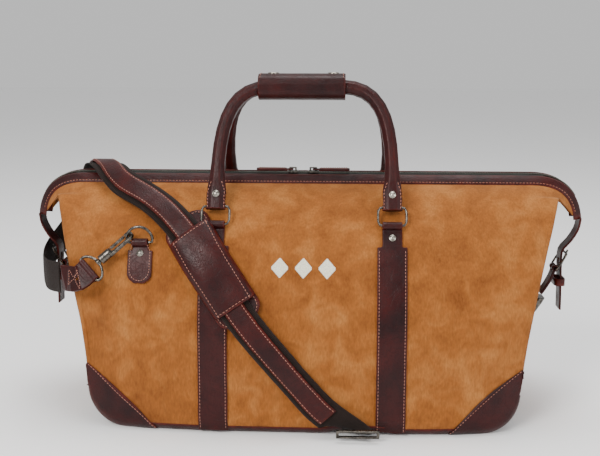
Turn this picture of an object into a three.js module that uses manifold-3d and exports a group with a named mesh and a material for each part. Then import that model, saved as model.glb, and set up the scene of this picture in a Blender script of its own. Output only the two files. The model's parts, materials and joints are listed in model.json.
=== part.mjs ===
// A weekender bag in suede with leather trim, zip top, two rolled handles and a clipped-on shoulder strap.
// Millimetres, +Z up, +X along the length, front face towards -Y.
// The origin is the bottom centre, on the surface that the bag stands on.
import * as THREE from 'three';
import { mergeVertices } from 'three/addons/utils/BufferGeometryUtils.js';
import Module from 'manifold-3d';

const wasm = await Module();
wasm.setup();

// Driving dimensions of the body
const BASE_HALF = 241;          // half length just above the bottom corners
const FLARE = 49;               // how much wider each half is at the top of the panels
const PANEL_TOP = 266;          // height of the panels' top seam
const BASE_DEPTH = 122;         // half depth near the bottom
const SEAM_DEPTH = 20.5;        // half depth at the top seam
const CORNER_RADIUS = 38;       // bottom corners, seen from the front
const BASE_CURL = 1.35;         // angle that the base turns up through at both ends
const HEM_RADIUS = 14;          // rounding between a panel and the base
const SHOULDER = 256;           // height where the panels' sides turn out into the wings
const SUEDE = 2.6;              // thickness of suede with its backing
const LEATHER = 2.2;            // thickness of trim leather
const GAP = 0.4;                // clearance between neighbouring pieces

// Zip line: straight over the middle, curling down into a wing at each end
const ZIP_HEIGHT = 277;
const ZIP_STRAIGHT = 262;
const WING_CONTROL = 312;
const WING_TIP_X = 321;
const WING_TIP_Z = 230;
const STRAIGHT_SHARE = 0.84;    // share of a half zip line that is straight
const PATH_STEPS = 40;

// Handles: leaning in from the rings on the panels to meet over the zip
const HANDLE_X = 98;
const RING_BAR_Z = 229;
const RING_BAR_Y = 79;
const RING_HEIGHT = 21;
const RING_WIDTH = 31;
const RING_WIRE = 1.5;
const GRIP_HALF_GAP = 9.5;       // half distance between the two handles' grips
const GRIP_Z = 377;
const LEAN = Math.atan((RING_BAR_Y - GRIP_HALF_GAP) / (GRIP_Z - RING_BAR_Z));
const HANDLE_TOP = Math.hypot(RING_BAR_Y - GRIP_HALF_GAP, GRIP_Z - RING_BAR_Z);
const TUBE = 8.2;
const CORE = 4.6;
const HOLLOW = 5.6;
const TAB_TOP = 50;
const TAB_HALF = 12.5;
const STRAP_HALF = 16.5;
const NECK_HALF = 11;

// Grip wrap, snapped round both handles
const WRAP_X = -5;
const WRAP_HALF = 50;

// Shoulder strap
const WEB_WIDTH = 35;
const STRIP_WIDTH = 24;
const WEB_THICK = 2;
const STRIP_THICK = 1.8;
const UNDER_X = 76;             // where the strap crosses under the middle of the base
const UNDER_SHIFT = 14;
const UNDER_RISE = 3.2;
const UNDER_HALF = 46;
const STRAP_LIFT = 5.8;         // the webbing's outer face above the panels
const LEVEL_BELOW = 12;         // the strap is level across its width below this height
const LEVEL_ABOVE = 34;         // and follows the body's slope above this one
const WEB_STEPS = 84;
const SLIDER_SIZE = [47, 10, 3];
const SLIDER_WINDOW = [41, 5, 5];

// Padded rest, turned to lie along the strap
const PAD_MIDDLE = [-98.6, 179.5];
const PAD_ANGLE = 0.981;
const PAD_LENGTH = 138;
const PAD_WIDTH = 52;
const PAD_THICK = 7;
const PAD_ROUND = 16;           // how long its rounded ends are

// D-rings and their leather tabs
const DRING_X = 180;
const DRING_Z = 207;
const DRING_RADIUS = 13;
const DRING_WIRE = 1.7;
const DRING_LIFT = 6;
const DRING_TILT = 0.7;         // the ring stands off the panel, held up by the hook
const DTAB_BOTTOM = 166;
const DTAB_HALF = 14;
const DTAB_NECK = 9;

// Swivel snap hooks
const HOOK_WINDOW_END = 44;
const HOOK_HALF = 7;
const HOOK_THICK = 3.8;
const HOOK_SLACK = 2.6;         // play between the ring's wire and the hook's nose
const HOOK_ROLL = -0.6;
const HOOK_REACH = 5.5;         // how far up the ring its wire crosses the hook
const HOOK_ANGLE = 0.76;
const LOOP_BACK = 15;           // distance from the swivel to the straight bar of its loop
const END_WIDTH = 28;           // leather ends of the shoulder strap
const END_THICK = 4.2;

// Side straps
const SIDE_WIDTH = 20;
const SIDE_THICK = 2.4;
const TAB_THICK = 3;
const BUCKLE_BAR = { x: 294, z: 166 };
const BUCKLE_HALF = 14.5;

const COLOURS = {
  suede: ['#b5773f', 0.95, 0],
  leather: ['#4b2726', 0.55, 0],
  webbing: ['#2e2523', 0.9, 0],
  lining: ['#6b5a48', 0.9, 0],
  board: ['#8a7358', 0.9, 0],
  metal: ['#6f6a63', 0.35, 1],
  zip: ['#3c403d', 0.6, 0.3],
};

const vec = (x, y, z) => new THREE.Vector3(x, y, z);
const mix = (a, b, t) => a + (b - a) * t;
const clamp01 = (t) => Math.min(1, Math.max(0, t));
const smooth = (t) => clamp01(t) ** 2 * (3 - 2 * clamp01(t));

function closedGeometry(positions, index) {
  const geometry = new THREE.BufferGeometry();
  geometry.setAttribute('position', new THREE.Float32BufferAttribute(positions, 3));
  geometry.setIndex(index);
  return facingOut(geometry);
}

// Turns a closed shape's faces outwards, judged by its signed volume.
function facingOut(source) {
  const geometry = source.index ? source : mergeVertices(source);
  const index = geometry.index.array;
  const position = geometry.attributes.position;
  let volume = 0;
  for (let i = 0; i < index.length; i += 3) {
    const [a, b, c] = [0, 1, 2].map((k) => vec(0, 0, 0).fromBufferAttribute(position, index[i + k]));
    volume += a.dot(b.cross(c));
  }
  if (volume < 0) {
    for (let i = 0; i < index.length; i += 3) {
      [index[i], index[i + 1]] = [index[i + 1], index[i]];
    }
  }
  return geometry;
}

function toSolid(geometry) {
  const bare = geometry.clone();
  bare.deleteAttribute('normal');
  bare.deleteAttribute('uv');
  const merged = facingOut(mergeVertices(bare, 1e-4));
  return new wasm.Manifold(new wasm.Mesh({
    numProp: 3,
    vertProperties: Float32Array.from(merged.attributes.position.array),
    triVerts: Uint32Array.from(merged.index.array),
  }));
}

function fromSolid(solid) {
  const mesh = solid.getMesh();
  const geometry = new THREE.BufferGeometry();
  geometry.setAttribute('position', new THREE.Float32BufferAttribute(mesh.vertProperties, 3));
  geometry.setIndex(Array.from(mesh.triVerts));
  return geometry;
}

const cut = (geometry, ...tools) => fromSolid(
  tools.reduce((solid, tool) => solid.subtract(toSolid(tool)), toSolid(geometry)));
const join = (geometry, ...others) => fromSolid(
  others.reduce((solid, other) => solid.add(toSolid(other)), toSolid(geometry)));

// A thin closed sheet: surface(u, v) is its outer face and the thickness goes the other way.
function sheet(across, along, surface, thickness) {
  const box = new THREE.BoxGeometry(1, 1, 1, across, along, 1);
  const position = box.attributes.position;
  const step = 1e-3;
  for (let i = 0; i < position.count; i += 1) {
    const u = position.getX(i) + 0.5;
    const v = position.getY(i) + 0.5;
    const depth = 0.5 - position.getZ(i);
    const u0 = Math.min(u, 1 - step);
    const v0 = Math.min(v, 1 - step);
    const here = surface(u0, v0);
    const du = surface(u0 + step, v0).sub(here);
    const dv = surface(u0, v0 + step).sub(here);
    const normal = du.cross(dv).normalize();
    const point = surface(u, v).addScaledVector(normal, -thickness * depth);
    position.setXYZ(i, point.x, point.y, point.z);
  }
  box.deleteAttribute('normal');
  box.deleteAttribute('uv');
  return facingOut(mergeVertices(box, 1e-4));
}

// A closed solid through rings of points, with flat ends.
function loft(rings) {
  const count = rings[0].length;
  const positions = rings.flat().flatMap((p) => [p.x, p.y, p.z]);
  const index = [];
  for (let r = 0; r + 1 < rings.length; r += 1) {
    for (let i = 0; i < count; i += 1) {
      const a = r * count + i;
      const b = r * count + ((i + 1) % count);
      index.push(a, b, b + count, a, b + count, a + count);
    }
  }
  const last = (rings.length - 1) * count;
  for (let i = 1; i + 1 < count; i += 1) {
    index.push(0, i + 1, i);
    index.push(last, last + i, last + i + 1);
  }
  return closedGeometry(positions, index);
}

// Superellipse outline of half sizes a and b; squareness 1 is an ellipse and 0 a box.
function outline(a, b, squareness, count) {
  const bend = (value) => Math.sign(value) * Math.abs(value) ** squareness;
  return Array.from({ length: count }, (_, i) => {
    const angle = (2 * Math.PI * (i + 0.5)) / count;
    return [a * bend(Math.cos(angle)), b * bend(Math.sin(angle))];
  });
}

// A closed wire loop whose middle line passes through the given points.
function wireLoop(points, radius, segments, sides = 6) {
  const curve = new THREE.CatmullRomCurve3(points, true, 'centripetal');
  return new THREE.TubeGeometry(curve, segments, radius, sides, true);
}

function cylinderAlong(axis, radius, length, at, sides = 12) {
  const geometry = new THREE.CylinderGeometry(radius, radius, length, sides);
  if (axis === 'x') geometry.rotateZ(Math.PI / 2);
  if (axis === 'z') geometry.rotateX(Math.PI / 2);
  return geometry.translate(at.x, at.y, at.z);
}

function boxAt(size, at) {
  return new THREE.BoxGeometry(...size).translate(...at);
}

function piece(name, geometry, finish) {
  const [color, roughness, metalness] = COLOURS[finish];
  const mesh = new THREE.Mesh(geometry, new THREE.MeshStandardMaterial({ color, roughness, metalness }));
  mesh.name = name;
  return mesh;
}

// ---- Body surface ----

const halfWidth = (z) => BASE_HALF + FLARE * (z / PANEL_TOP) ** 2;

// Rise of the bottom line: the corner arc, and the soft base pressed up by the strap under it.
function cornerRise(x) {
  const past = Math.max(0, Math.abs(x) - (BASE_HALF - CORNER_RADIUS));
  return CORNER_RADIUS - Math.sqrt(Math.max(0, CORNER_RADIUS ** 2 - past ** 2));
}

const underStrapX = (y) => UNDER_X + UNDER_SHIFT * (y / BASE_DEPTH);

function strapRise(x, y) {
  return UNDER_RISE * smooth(1.7 * (1 - Math.abs(x - underStrapX(y)) / UNDER_HALF));
}

function hemInset(height) {
  const t = clamp01(1 - height / HEM_RADIUS);
  return HEM_RADIUS * (1 - Math.sqrt(1 - t * t));
}

// Half depth of the body at (x, z), before the hem's rounding
function halfDepth(x, z) {
  const fullness = (1 - Math.min(1, z / PANEL_TOP) ** 3.2) ** 0.7;
  const side = Math.min(1, Math.abs(x) / halfWidth(z));
  return SEAM_DEPTH + (BASE_DEPTH - SEAM_DEPTH) * fullness * (1 - 0.2 * side ** 4);
}

// side -1 is the front, +1 the back
function bodyPoint(x, z, side) {
  const bottom = cornerRise(x) + strapRise(x, side * BASE_DEPTH);
  return vec(x, side * (halfDepth(x, z) - hemInset(z - bottom)), z);
}

function bodyFrame(x, z, side) {
  const here = bodyPoint(x, z, side);
  const dx = bodyPoint(x + 0.5, z, side).sub(here);
  const dz = bodyPoint(x, z + 0.5, side).sub(here);
  const normal = dx.cross(dz).normalize();
  if (normal.y * side < 0) normal.negate();
  return { here, normal };
}

function onBody(x, z, side, lift) {
  const { here, normal } = bodyFrame(x, z, side);
  return here.addScaledVector(normal, lift);
}

// Zip line at a signed share of its half length: point, outward normal and narrowing
function zipFrame(share) {
  const far = Math.abs(share);
  const sign = Math.sign(share) || 1;
  if (far <= STRAIGHT_SHARE) {
    return { x: (share / STRAIGHT_SHARE) * ZIP_STRAIGHT, z: ZIP_HEIGHT, nx: 0, nz: 1, narrow: 1 };
  }
  const t = (far - STRAIGHT_SHARE) / (1 - STRAIGHT_SHARE);
  const along = (a, b, c) => (1 - t) ** 2 * a + 2 * t * (1 - t) * b + t * t * c;
  const slope = (a, b, c) => 2 * (1 - t) * (b - a) + 2 * t * (c - b);
  const tangent = new THREE.Vector2(
    slope(ZIP_STRAIGHT, WING_CONTROL, WING_TIP_X), slope(ZIP_HEIGHT, ZIP_HEIGHT, WING_TIP_Z)).normalize();
  return {
    x: sign * along(ZIP_STRAIGHT, WING_CONTROL, WING_TIP_X),
    z: along(ZIP_HEIGHT, ZIP_HEIGHT, WING_TIP_Z),
    nx: sign * -tangent.y,
    nz: tangent.x,
    narrow: 1 - 0.35 * t * t,
  };
}

function zipPoint(share, y, rise) {
  const f = zipFrame(share);
  return vec(f.x + f.nx * rise, y * f.narrow, f.z + f.nz * rise);
}

// Outer face of a panel. Its columns climb the side and then fan out along the zip line.
function panelPoint(u, v, side) {
  const share = -side * (2 * u - 1);
  const turn = 0.84;
  const bottom = cornerRise(share * BASE_HALF) + strapRise(share * BASE_HALF, side * BASE_DEPTH);
  const height = mix(bottom + 0.2, SHOULDER, Math.min(1, v / turn) ** 0.9);
  const low = bodyPoint(share * halfWidth(height), height, side);
  if (v <= turn) return low;
  return low.lerp(zipPoint(share, side * SEAM_DEPTH, -12.2), (v - turn) / (1 - turn));
}

function makePanel(name, side) {
  return piece(name, sheet(24, 13, (u, v) => panelPoint(u, v, side), SUEDE), 'suede');
}

// End gusset: joins the panels' side edges and folds inwards between them
function makeGusset(name, end) {
  const face = (u, v) => {
    const top = SHOULDER - 8;
    const z = mix(CORNER_RADIUS - 5, top, v);
    const inner = halfDepth(end * halfWidth(z) * 0.97, z) - 4 * SUEDE - 5 * Math.max(0, 1 - 4 * v);
    const y = -end * mix(-inner, inner, u);
    const fold = mix(6, 52, (v ** 1.4)) * (1 - Math.abs(2 * u - 1) ** 1.6);
    return vec(end * (halfWidth(z) - 4 - fold), -y, z);
  };
  return piece(name, sheet(8, 9, face, 1.8), 'suede');
}

// Base: flat leather that curls up at both ends to meet the gussets
function makeBase() {
  const flat = BASE_HALF - CORNER_RADIUS;
  const share = 0.84;
  const face = (u, v) => {
    const along = 2 * u - 1;
    const turn = Math.max(0, (Math.abs(along) - share) / (1 - share)) * BASE_CURL;
    const reach = Math.min(1, Math.abs(along) / share) * flat + CORNER_RADIUS * Math.sin(turn);
    const x = Math.sign(along) * reach;
    const y = -mix(-1, 1, v) * (halfDepth(x, 0) - HEM_RADIUS - GAP - 1);
    return vec(x, y, CORNER_RADIUS * (1 - Math.cos(turn)) + strapRise(x, y));
  };
  return piece('base_panel', sheet(36, 4, face, LEATHER), 'leather');
}

function makeBoard() {
  const size = [2 * (BASE_HALF - CORNER_RADIUS - 10), 2 * (BASE_DEPTH - 26), 3];
  return piece('base_board', boxAt(size, [0, 0, UNDER_RISE + LEATHER + GAP + 2]), 'board');
}

// Lining: an open-topped cloth box inside the panels
function makeLining() {
  const floor = UNDER_RISE + LEATHER + 5;
  const rings = (shrink, from, to) => Array.from({ length: 6 }, (_, k) => {
    const z = mix(from, to, k / 5);
    const length = halfWidth(z) - mix(36, 74, (z / to) ** 1.4) - shrink;
    const depth = halfDepth(0, z) * 0.86 - 4 - shrink;
    return outline(length, depth, 0.45, 16).map(([x, y]) => vec(x, y, z));
  });
  const rim = 236;
  return piece('lining', cut(loft(rings(0, floor, rim)), loft(rings(1.2, floor + 1.2, rim + 2))), 'lining');
}

// Corner patch on a panel: from a slanting stitched edge down to the bottom corner
function makePatch(name, end, side) {
  const reach = { x: 160, z: 2 };
  const climb = { x: 241, z: 74 };
  const edgeX = BASE_HALF - 3;
  const face = (u, v) => {
    const t = mix(0.05, 0.94, end * side < 0 ? u : 1 - u);
    const bulge = 5 * Math.sin(Math.PI * t);
    const inner = [mix(reach.x, climb.x, t) - bulge * 0.6, mix(reach.z, climb.z, t) + bulge * 0.8];
    const x = mix(reach.x, edgeX, Math.sin(Math.min(1, t / 0.75) * Math.PI / 2));
    const low = cornerRise(x) + strapRise(end * x, side * BASE_DEPTH) + 1.5;
    const z = mix(low, climb.z - 8, Math.max(0, t - 0.75) / 0.25);
    return onBody(end * mix(x, inner[0], v), mix(z, Math.max(inner[1], z + 3), v), side, GAP + 1.6);
  };
  return piece(name, sheet(11, 3, face, 1.6), 'leather');
}

// Vertical strap on a panel, with a narrower neck folded round the ring's lower bar
function makePanelStrap(name, x, side) {
  const lift = 2 * GAP + LEATHER;
  const neckStart = 206;
  const face = (half, from, to) => (u, v) => {
    const offset = -side * mix(-half, half, u);
    return onBody(x + offset, mix(from, to, v), side, lift);
  };
  const lowest = 5 + strapRise(x, side * BASE_DEPTH);
  const strap = sheet(2, 14, face(STRAP_HALF, lowest, neckStart), LEATHER);
  const neck = sheet(2, 4, face(NECK_HALF, neckStart - 3, RING_BAR_Z - 1), LEATHER);
  const bar = vec(x, side * RING_BAR_Y, RING_BAR_Z);
  const eye = cylinderAlong('x', RING_WIRE + 0.7 + LEATHER, 2 * NECK_HALF, bar, 16);
  const hole = cylinderAlong('x', RING_WIRE + 0.7, 2 * NECK_HALF + 4, bar, 16);
  return piece(name, cut(join(strap, neck, eye), hole), 'leather');
}

// ---- Zip and its leather edges ----

function zipStrip(name, segments, [y0, rise0], [y1, rise1], thickness, finish, reach = 1) {
  const face = (u, v) => zipPoint(mix(-reach, reach, u), mix(y0, y1, v), mix(rise0, rise1, v));
  return piece(name, sheet(segments, 1, face, thickness), finish);
}

function makeZip() {
  return [
    zipStrip('top_binding_front', PATH_STEPS, [-SEAM_DEPTH, -10.5], [-10.5, 0], LEATHER, 'leather'),
    zipStrip('top_binding_back', PATH_STEPS, [10.5, 0], [SEAM_DEPTH, -10.5], LEATHER, 'leather'),
    zipStrip('zip_tape', PATH_STEPS, [-7.8, -1.2], [7.8, -1.2], 2.2, 'zip', 0.96),
  ];
}

// Slider with its bridge, drawn with the pull pointing along +X
function makeSlider(end) {
  const side = end < 0 ? 'left' : 'right';
  const x = end < 0 ? -16 : 8;
  const group = new THREE.Group();
  group.position.set(x, 0, ZIP_HEIGHT);
  if (end < 0) group.rotation.z = Math.PI;
  const body = boxAt([13, 9, 3], [0, 0, 1]);
  const bridge = cut(boxAt([9, 3, 4.2], [0, 0, 4.4]), boxAt([5, 4, 2.6], [0, 0, 3.8]));
  group.add(piece(`zip_slider_${side}`, join(body, bridge), 'metal'));
  const eye = cut(boxAt([8.7, 7.6, 1.4], [3.65, 0, 3.9]), boxAt([5.5, 4.4, 3], [3.45, 0, 3.9]));
  const tab = new THREE.Shape();
  tab.moveTo(7.4, -4);
  tab.lineTo(40, -6);
  tab.quadraticCurveTo(46, 0, 40, 6);
  tab.lineTo(7.4, 4);
  const tabSolid = new THREE.ExtrudeGeometry(tab, { depth: 2.4, bevelEnabled: false, curveSegments: 6 });
  group.add(piece(`zip_pull_${side}`, join(eye, tabSolid.translate(0, 0, 2.9)), 'leather'));
  return group;
}

// ---- Handles ----

// Handle's middle line in its own leaning plane, from one tab to the other
function handleLine(height) {
  const points = [];
  for (let h = height; h < TAB_TOP; h += 7) points.push([HANDLE_X, h]);
  const steps = 9;
  for (let i = 0; i <= steps; i += 1) {
    const t = i / steps;
    const bend = (a, b, c, d) => (1 - t) ** 3 * a + 3 * t * (1 - t) ** 2 * b
      + 3 * t * t * (1 - t) * c + t ** 3 * d;
    points.push([
      bend(HANDLE_X, HANDLE_X, 88, 40),
      bend(TAB_TOP, 120, HANDLE_TOP - 0.5, HANDLE_TOP),
    ]);
  }
  const mirrored = points.map(([x, h]) => [-x, h]).reverse();
  return [...points, ...mirrored];
}

function sweepHandle(start, halfSizes, sides) {
  const line = handleLine(start).filter(([, h]) => h >= start);
  return loft(line.map(([x, h], i) => {
    const before = line[Math.max(0, i - 1)];
    const after = line[Math.min(line.length - 1, i + 1)];
    const tangent = vec(after[0] - before[0], 0, after[1] - before[1]).normalize();
    const across = vec(-tangent.z, 0, tangent.x);
    const [a, b] = halfSizes(h);
    return outline(a, b, 1, sides).map(([p, q]) => vec(x, q, h).addScaledVector(across, p));
  }));
}

const flatness = (h) => 1 - smooth((h - 36) / (TAB_TOP + 8 - 36));

function makeHandleLeather(name) {
  const outer = sweepHandle(RING_HEIGHT - 4, (h) => [
    mix(TUBE, TAB_HALF, flatness(h)), mix(TUBE, RING_WIRE + 1.2 + LEATHER + 0.5, flatness(h))], 8);
  const inner = sweepHandle(RING_HEIGHT - 2.2, (h) => [
    mix(HOLLOW, TAB_HALF + 6, flatness(h) ** 3), mix(HOLLOW, RING_WIRE + 1.2, flatness(h))], 8);
  return piece(name, cut(outer, inner), 'leather');
}

function makeCore(name) {
  const solid = sweepHandle(TAB_TOP + 12, () => [CORE, CORE], 6);
  return piece(name, solid, 'board');
}

function makeRing(name, x) {
  const squareness = 0.32;
  const points = outline(RING_WIDTH / 2, RING_HEIGHT / 2, squareness, 20)
    .map(([px, pz]) => vec(x + px, 0, pz + RING_HEIGHT / 2));
  return piece(name, wireLoop(points, RING_WIRE, 24), 'metal');
}

function leaningGroup(side) {
  const group = new THREE.Group();
  group.position.set(0, side * RING_BAR_Y, RING_BAR_Z);
  group.rotation.order = 'ZYX';
  group.rotation.x = -LEAN;
  if (side > 0) group.rotation.z = Math.PI;
  return group;
}

function makeHandle(label, side) {
  const group = leaningGroup(side);
  const leftX = side < 0 ? -HANDLE_X : HANDLE_X;
  group.add(makeRing(`ring_${label}_left`, leftX));
  group.add(makeRing(`ring_${label}_right`, -leftX));
  group.add(makeHandleLeather(`handle_${label}`));
  group.add(makeCore(`handle_core_${label}`));
  return group;
}

// Grip wrap round both handles: a cradle behind and under the back grip, and a flap over the front and top
function makeWrap() {
  const half = { y: GRIP_HALF_GAP + TUBE + 1.4, z: TUBE + 4.5 };
  const wall = 2.6;
  const sleeve = (grow, length) => loft([-length, length].map((x) => outline(
    half.y + grow, half.z + grow, 0.7, 24).map(([y, z]) => vec(WRAP_X + x, y, GRIP_Z + z))));
  const whole = cut(sleeve(wall, WRAP_HALF), sleeve(0, WRAP_HALF + 4));
  const span = 2 * WRAP_HALF + 8;
  const room = half.y + wall + 2;
  const lipZ = GRIP_Z + half.z * 0.5;
  const tall = lipZ - GRIP_Z + half.z + wall + 4;
  const backLower = (spare) => boxAt([span, room + spare, tall + spare],
    [WRAP_X, (room + spare) / 2 - spare, lipZ - tall / 2 + spare / 2]);
  const cradle = fromSolid(toSolid(whole).intersect(toSolid(backLower(0))));
  const flap = cut(whole, backLower(GAP));
  return [piece('wrap_back', cradle, 'leather'), piece('wrap_flap', flap, 'leather')];
}

// ---- Shoulder strap and its hardware ----

// A turned frame lying on the body: x and y are tangent, z points out of the bag
function surfaceGroup(x, z, side, lift, angle) {
  const { here, normal } = bodyFrame(x, z, side);
  const level = vec(-side, 0, 0).addScaledVector(normal, side * normal.x).normalize();
  const up = normal.clone().cross(level);
  const along = level.clone().multiplyScalar(Math.cos(angle)).addScaledVector(up, Math.sin(angle));
  const group = new THREE.Group();
  group.matrix.makeBasis(along, normal.clone().cross(along), normal);
  group.matrix.setPosition(here.addScaledVector(normal, lift));
  group.matrix.decompose(group.position, group.quaternion, group.scale);
  return group;
}

function makeDRing(name, side) {
  const group = surfaceGroup(side * DRING_X, DRING_Z, side, DRING_LIFT, 0);
  const points = [-1, -0.6, 0, 0.6, 1].map((share) => vec(share * DRING_RADIUS, 0, 0));
  for (let k = 0; k <= 8; k += 1) {
    const angle = (k / 8) * Math.PI;
    const radius = DRING_RADIUS + 1.5;
    points.push(vec(radius * Math.cos(angle), 4 + radius * Math.sin(angle), 0));
  }
  const wire = wireLoop(points, DRING_WIRE, 24).rotateX(DRING_TILT);
  group.add(piece(name, wire, 'metal'));
  return group;
}

function makeDRingTab(name, side) {
  const x = side * DRING_X;
  const face = (from, to, width) => (u, v) => {
    const z = mix(from, to, v);
    const round = Math.sqrt(Math.max(0.05, 1 - clamp01((DTAB_BOTTOM + 10 - z) / 11) ** 2));
    return onBody(x - side * mix(-width, width, u) * round, z, side, 2 * GAP + LEATHER);
  };
  const tab = sheet(2, 8, face(DTAB_BOTTOM, DRING_Z - 7, DTAB_HALF), LEATHER);
  const fold = sheet(2, 2, face(DRING_Z - 8, DRING_Z - 1.5, DTAB_NECK), LEATHER);
  const { here, normal } = bodyFrame(x, DRING_Z, side);
  const bar = here.addScaledVector(normal, DRING_LIFT);
  const turn = new THREE.Quaternion().setFromUnitVectors(
    vec(1, 0, 0), vec(-side, 0, 0).addScaledVector(normal, side * normal.x).normalize());
  const rod = (radius, length) => cylinderAlong('x', radius, length, vec(0, 0, 0), 14)
    .applyQuaternion(turn).translate(bar.x, bar.y, bar.z);
  const bore = DRING_WIRE + 0.6;
  const solid = join(tab, fold, rod(bore + LEATHER, 2 * DTAB_NECK));
  return piece(name, cut(solid, rod(bore, 2 * DTAB_NECK + 6)), 'leather');
}

// hand 1 hooks the ring on the side away from the middle of the bag, -1 on the side towards it
const hookRoll = (hand) => (hand > 0 ? HOOK_ROLL : Math.PI - HOOK_ROLL);

function hookGroup(side, hand) {
  const ring = makeDRing('ring', side);
  ring.updateMatrixWorld(true);
  const crossing = vec(
    -hand * (DRING_RADIUS + 1.4), HOOK_REACH * Math.cos(DRING_TILT), HOOK_REACH * Math.sin(DRING_TILT))
    .applyMatrix4(ring.matrixWorld);
  const angle = hand > 0 ? HOOK_ANGLE : Math.PI - HOOK_ANGLE;
  const group = surfaceGroup(side * DRING_X, DRING_Z, side, DRING_LIFT, angle);
  const axis = vec(1, 0, 0).applyQuaternion(group.quaternion);
  group.position.copy(crossing).addScaledVector(axis, -(HOOK_WINDOW_END - DRING_WIRE - HOOK_SLACK));
  group.rotateX(hookRoll(hand));
  return group;
}

// Straight bar of the swivel's loop: its middle, its direction and the way out of the bag
function loopBar(side, hand) {
  const group = hookGroup(side, hand);
  group.rotateX(-hookRoll(hand));
  group.updateMatrixWorld(true);
  const turned = (x, y, z) => vec(x, y, z).applyQuaternion(group.quaternion);
  return {
    middle: vec(-LOOP_BACK, 0, 0).applyMatrix4(group.matrixWorld),
    back: turned(-1, 0, 0),
    out: turned(0, 0, 1),
    axis: turned(0, 1, 0),
  };
}

// Swivel snap hook, drawn with x from the swivel towards the nose and the gate on the +y side
function makeHook(label, side, hand) {
  const group = hookGroup(side, hand);
  const frame = new THREE.Shape();
  const end = HOOK_WINDOW_END;
  frame.moveTo(14, -HOOK_HALF);
  frame.lineTo(end - 4, -HOOK_HALF);
  frame.quadraticCurveTo(end + 4, -HOOK_HALF, end + 4, 0);
  frame.quadraticCurveTo(end + 4, HOOK_HALF, end - 3, HOOK_HALF);
  frame.lineTo(end - 5, HOOK_HALF);
  frame.lineTo(end - 5, 3.6);
  frame.quadraticCurveTo(end, 3.6, end, 0);
  frame.quadraticCurveTo(end, -3.6, end - 5, -3.6);
  frame.lineTo(20, -3.6);
  frame.lineTo(18, -1);
  frame.lineTo(18, 6);
  frame.lineTo(14, 6);
  const arm = new THREE.ExtrudeGeometry(frame, { depth: HOOK_THICK, bevelEnabled: false, curveSegments: 5 })
    .translate(0, 0, -HOOK_THICK / 2);
  const barrel = cylinderAlong('x', 5.4, 14, vec(9, 0, 0), 14);
  const socket = cylinderAlong('x', 2, 8, vec(3, 0, 0), 10);
  group.add(piece(`hook_${label}`, cut(join(barrel, arm), socket), 'metal'));
  group.add(piece(`hook_gate_${label}`, boxAt([20, 2.4, 3.2], [28.5, 5.4, 0]), 'metal'));
  const eye = cylinderAlong('x', 3.4, 4.6, vec(-0.9, 0, 0), 12);
  const half = [[1, 0], [3, 9], [8, 15.5], [13, 16.5], [LOOP_BACK, 14]].map(([back, y]) => vec(-back, y, 0));
  const mirrored = half.slice(1).reverse().map(({ x, y }) => vec(x, -y, 0));
  const loop = [...half, vec(-LOOP_BACK, 0, 0), ...mirrored];
  const stem = cylinderAlong('x', 1.5, 6, vec(2.4, 0, 0), 10);
  const swivel = join(eye, wireLoop(loop, 1.7, 24), stem);
  swivel.rotateX(-hookRoll(hand));
  group.add(piece(`hook_swivel_${label}`, swivel, 'metal'));
  return group;
}

// A flat band along stations of middle point and outward direction, over a stretch of them
function band(stations, width, thickness, steps, { from = 0, to = 1, lift = 0 } = {}) {
  const middle = new THREE.CatmullRomCurve3(stations.map((s) => s.at), false, 'centripetal');
  const outward = new THREE.CatmullRomCurve3(stations.map((s) => s.out), false, 'centripetal');
  const face = (u, v) => {
    const t = clamp01(mix(from, to, v));
    const tangent = middle.getTangent(t);
    const point = middle.getPoint(t);
    const square = tangent.clone().cross(outward.getPoint(t)).normalize();
    // Near the floor the band is cut level, so that both of its edges turn under the hem together.
    const level = smooth((point.z - LEVEL_BELOW) / (LEVEL_ABOVE - LEVEL_BELOW));
    const across = square.clone().setZ(square.z * level).normalize();
    const half = width / 2 / across.dot(square);
    const normal = across.clone().cross(tangent).normalize();
    return point.addScaledVector(across, mix(-half, half, u)).addScaledVector(normal, lift);
  };
  return sheet(1, steps, face, thickness);
}

const stationOn = (x, z, side, lift) => ({
  at: onBody(x, z, side, lift),
  out: bodyFrame(x, z, side).normal,
});
const station = (at, out) => ({ at: vec(...at), out: vec(...out).normalize() });

// Leather end of the strap, folded round the bar of the swivel's loop
function strapEndRoute(side, hand) {
  const { middle, back, out } = loopBar(side, hand);
  const away = side < 0
    ? { at: vec(-268, -98, 170), out: vec(-0.5, -0.86, 0.05) }
    : stationOn(112, 158, side, STRAP_LIFT + 3);
  const start = { at: middle.clone().addScaledVector(out, 3.4).addScaledVector(back, 1), out };
  const next = { at: start.at.clone().addScaledVector(back, 12), out };
  return [start, next, away];
}

function makeStrapEnd(name, side, hand) {
  const { middle, axis } = loopBar(side, hand);
  const turn = new THREE.Quaternion().setFromUnitVectors(vec(1, 0, 0), axis);
  const rod = (radius, length) => cylinderAlong('x', radius, length, vec(0, 0, 0), 14)
    .applyQuaternion(turn).translate(middle.x, middle.y, middle.z);
  const ply = band(strapEndRoute(side, hand), END_WIDTH, END_THICK, 6);
  const solid = join(ply, rod(2.2 + LEATHER, END_WIDTH));
  return piece(name, cut(solid, rod(2.2, END_WIDTH + 6)), 'leather');
}

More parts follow.
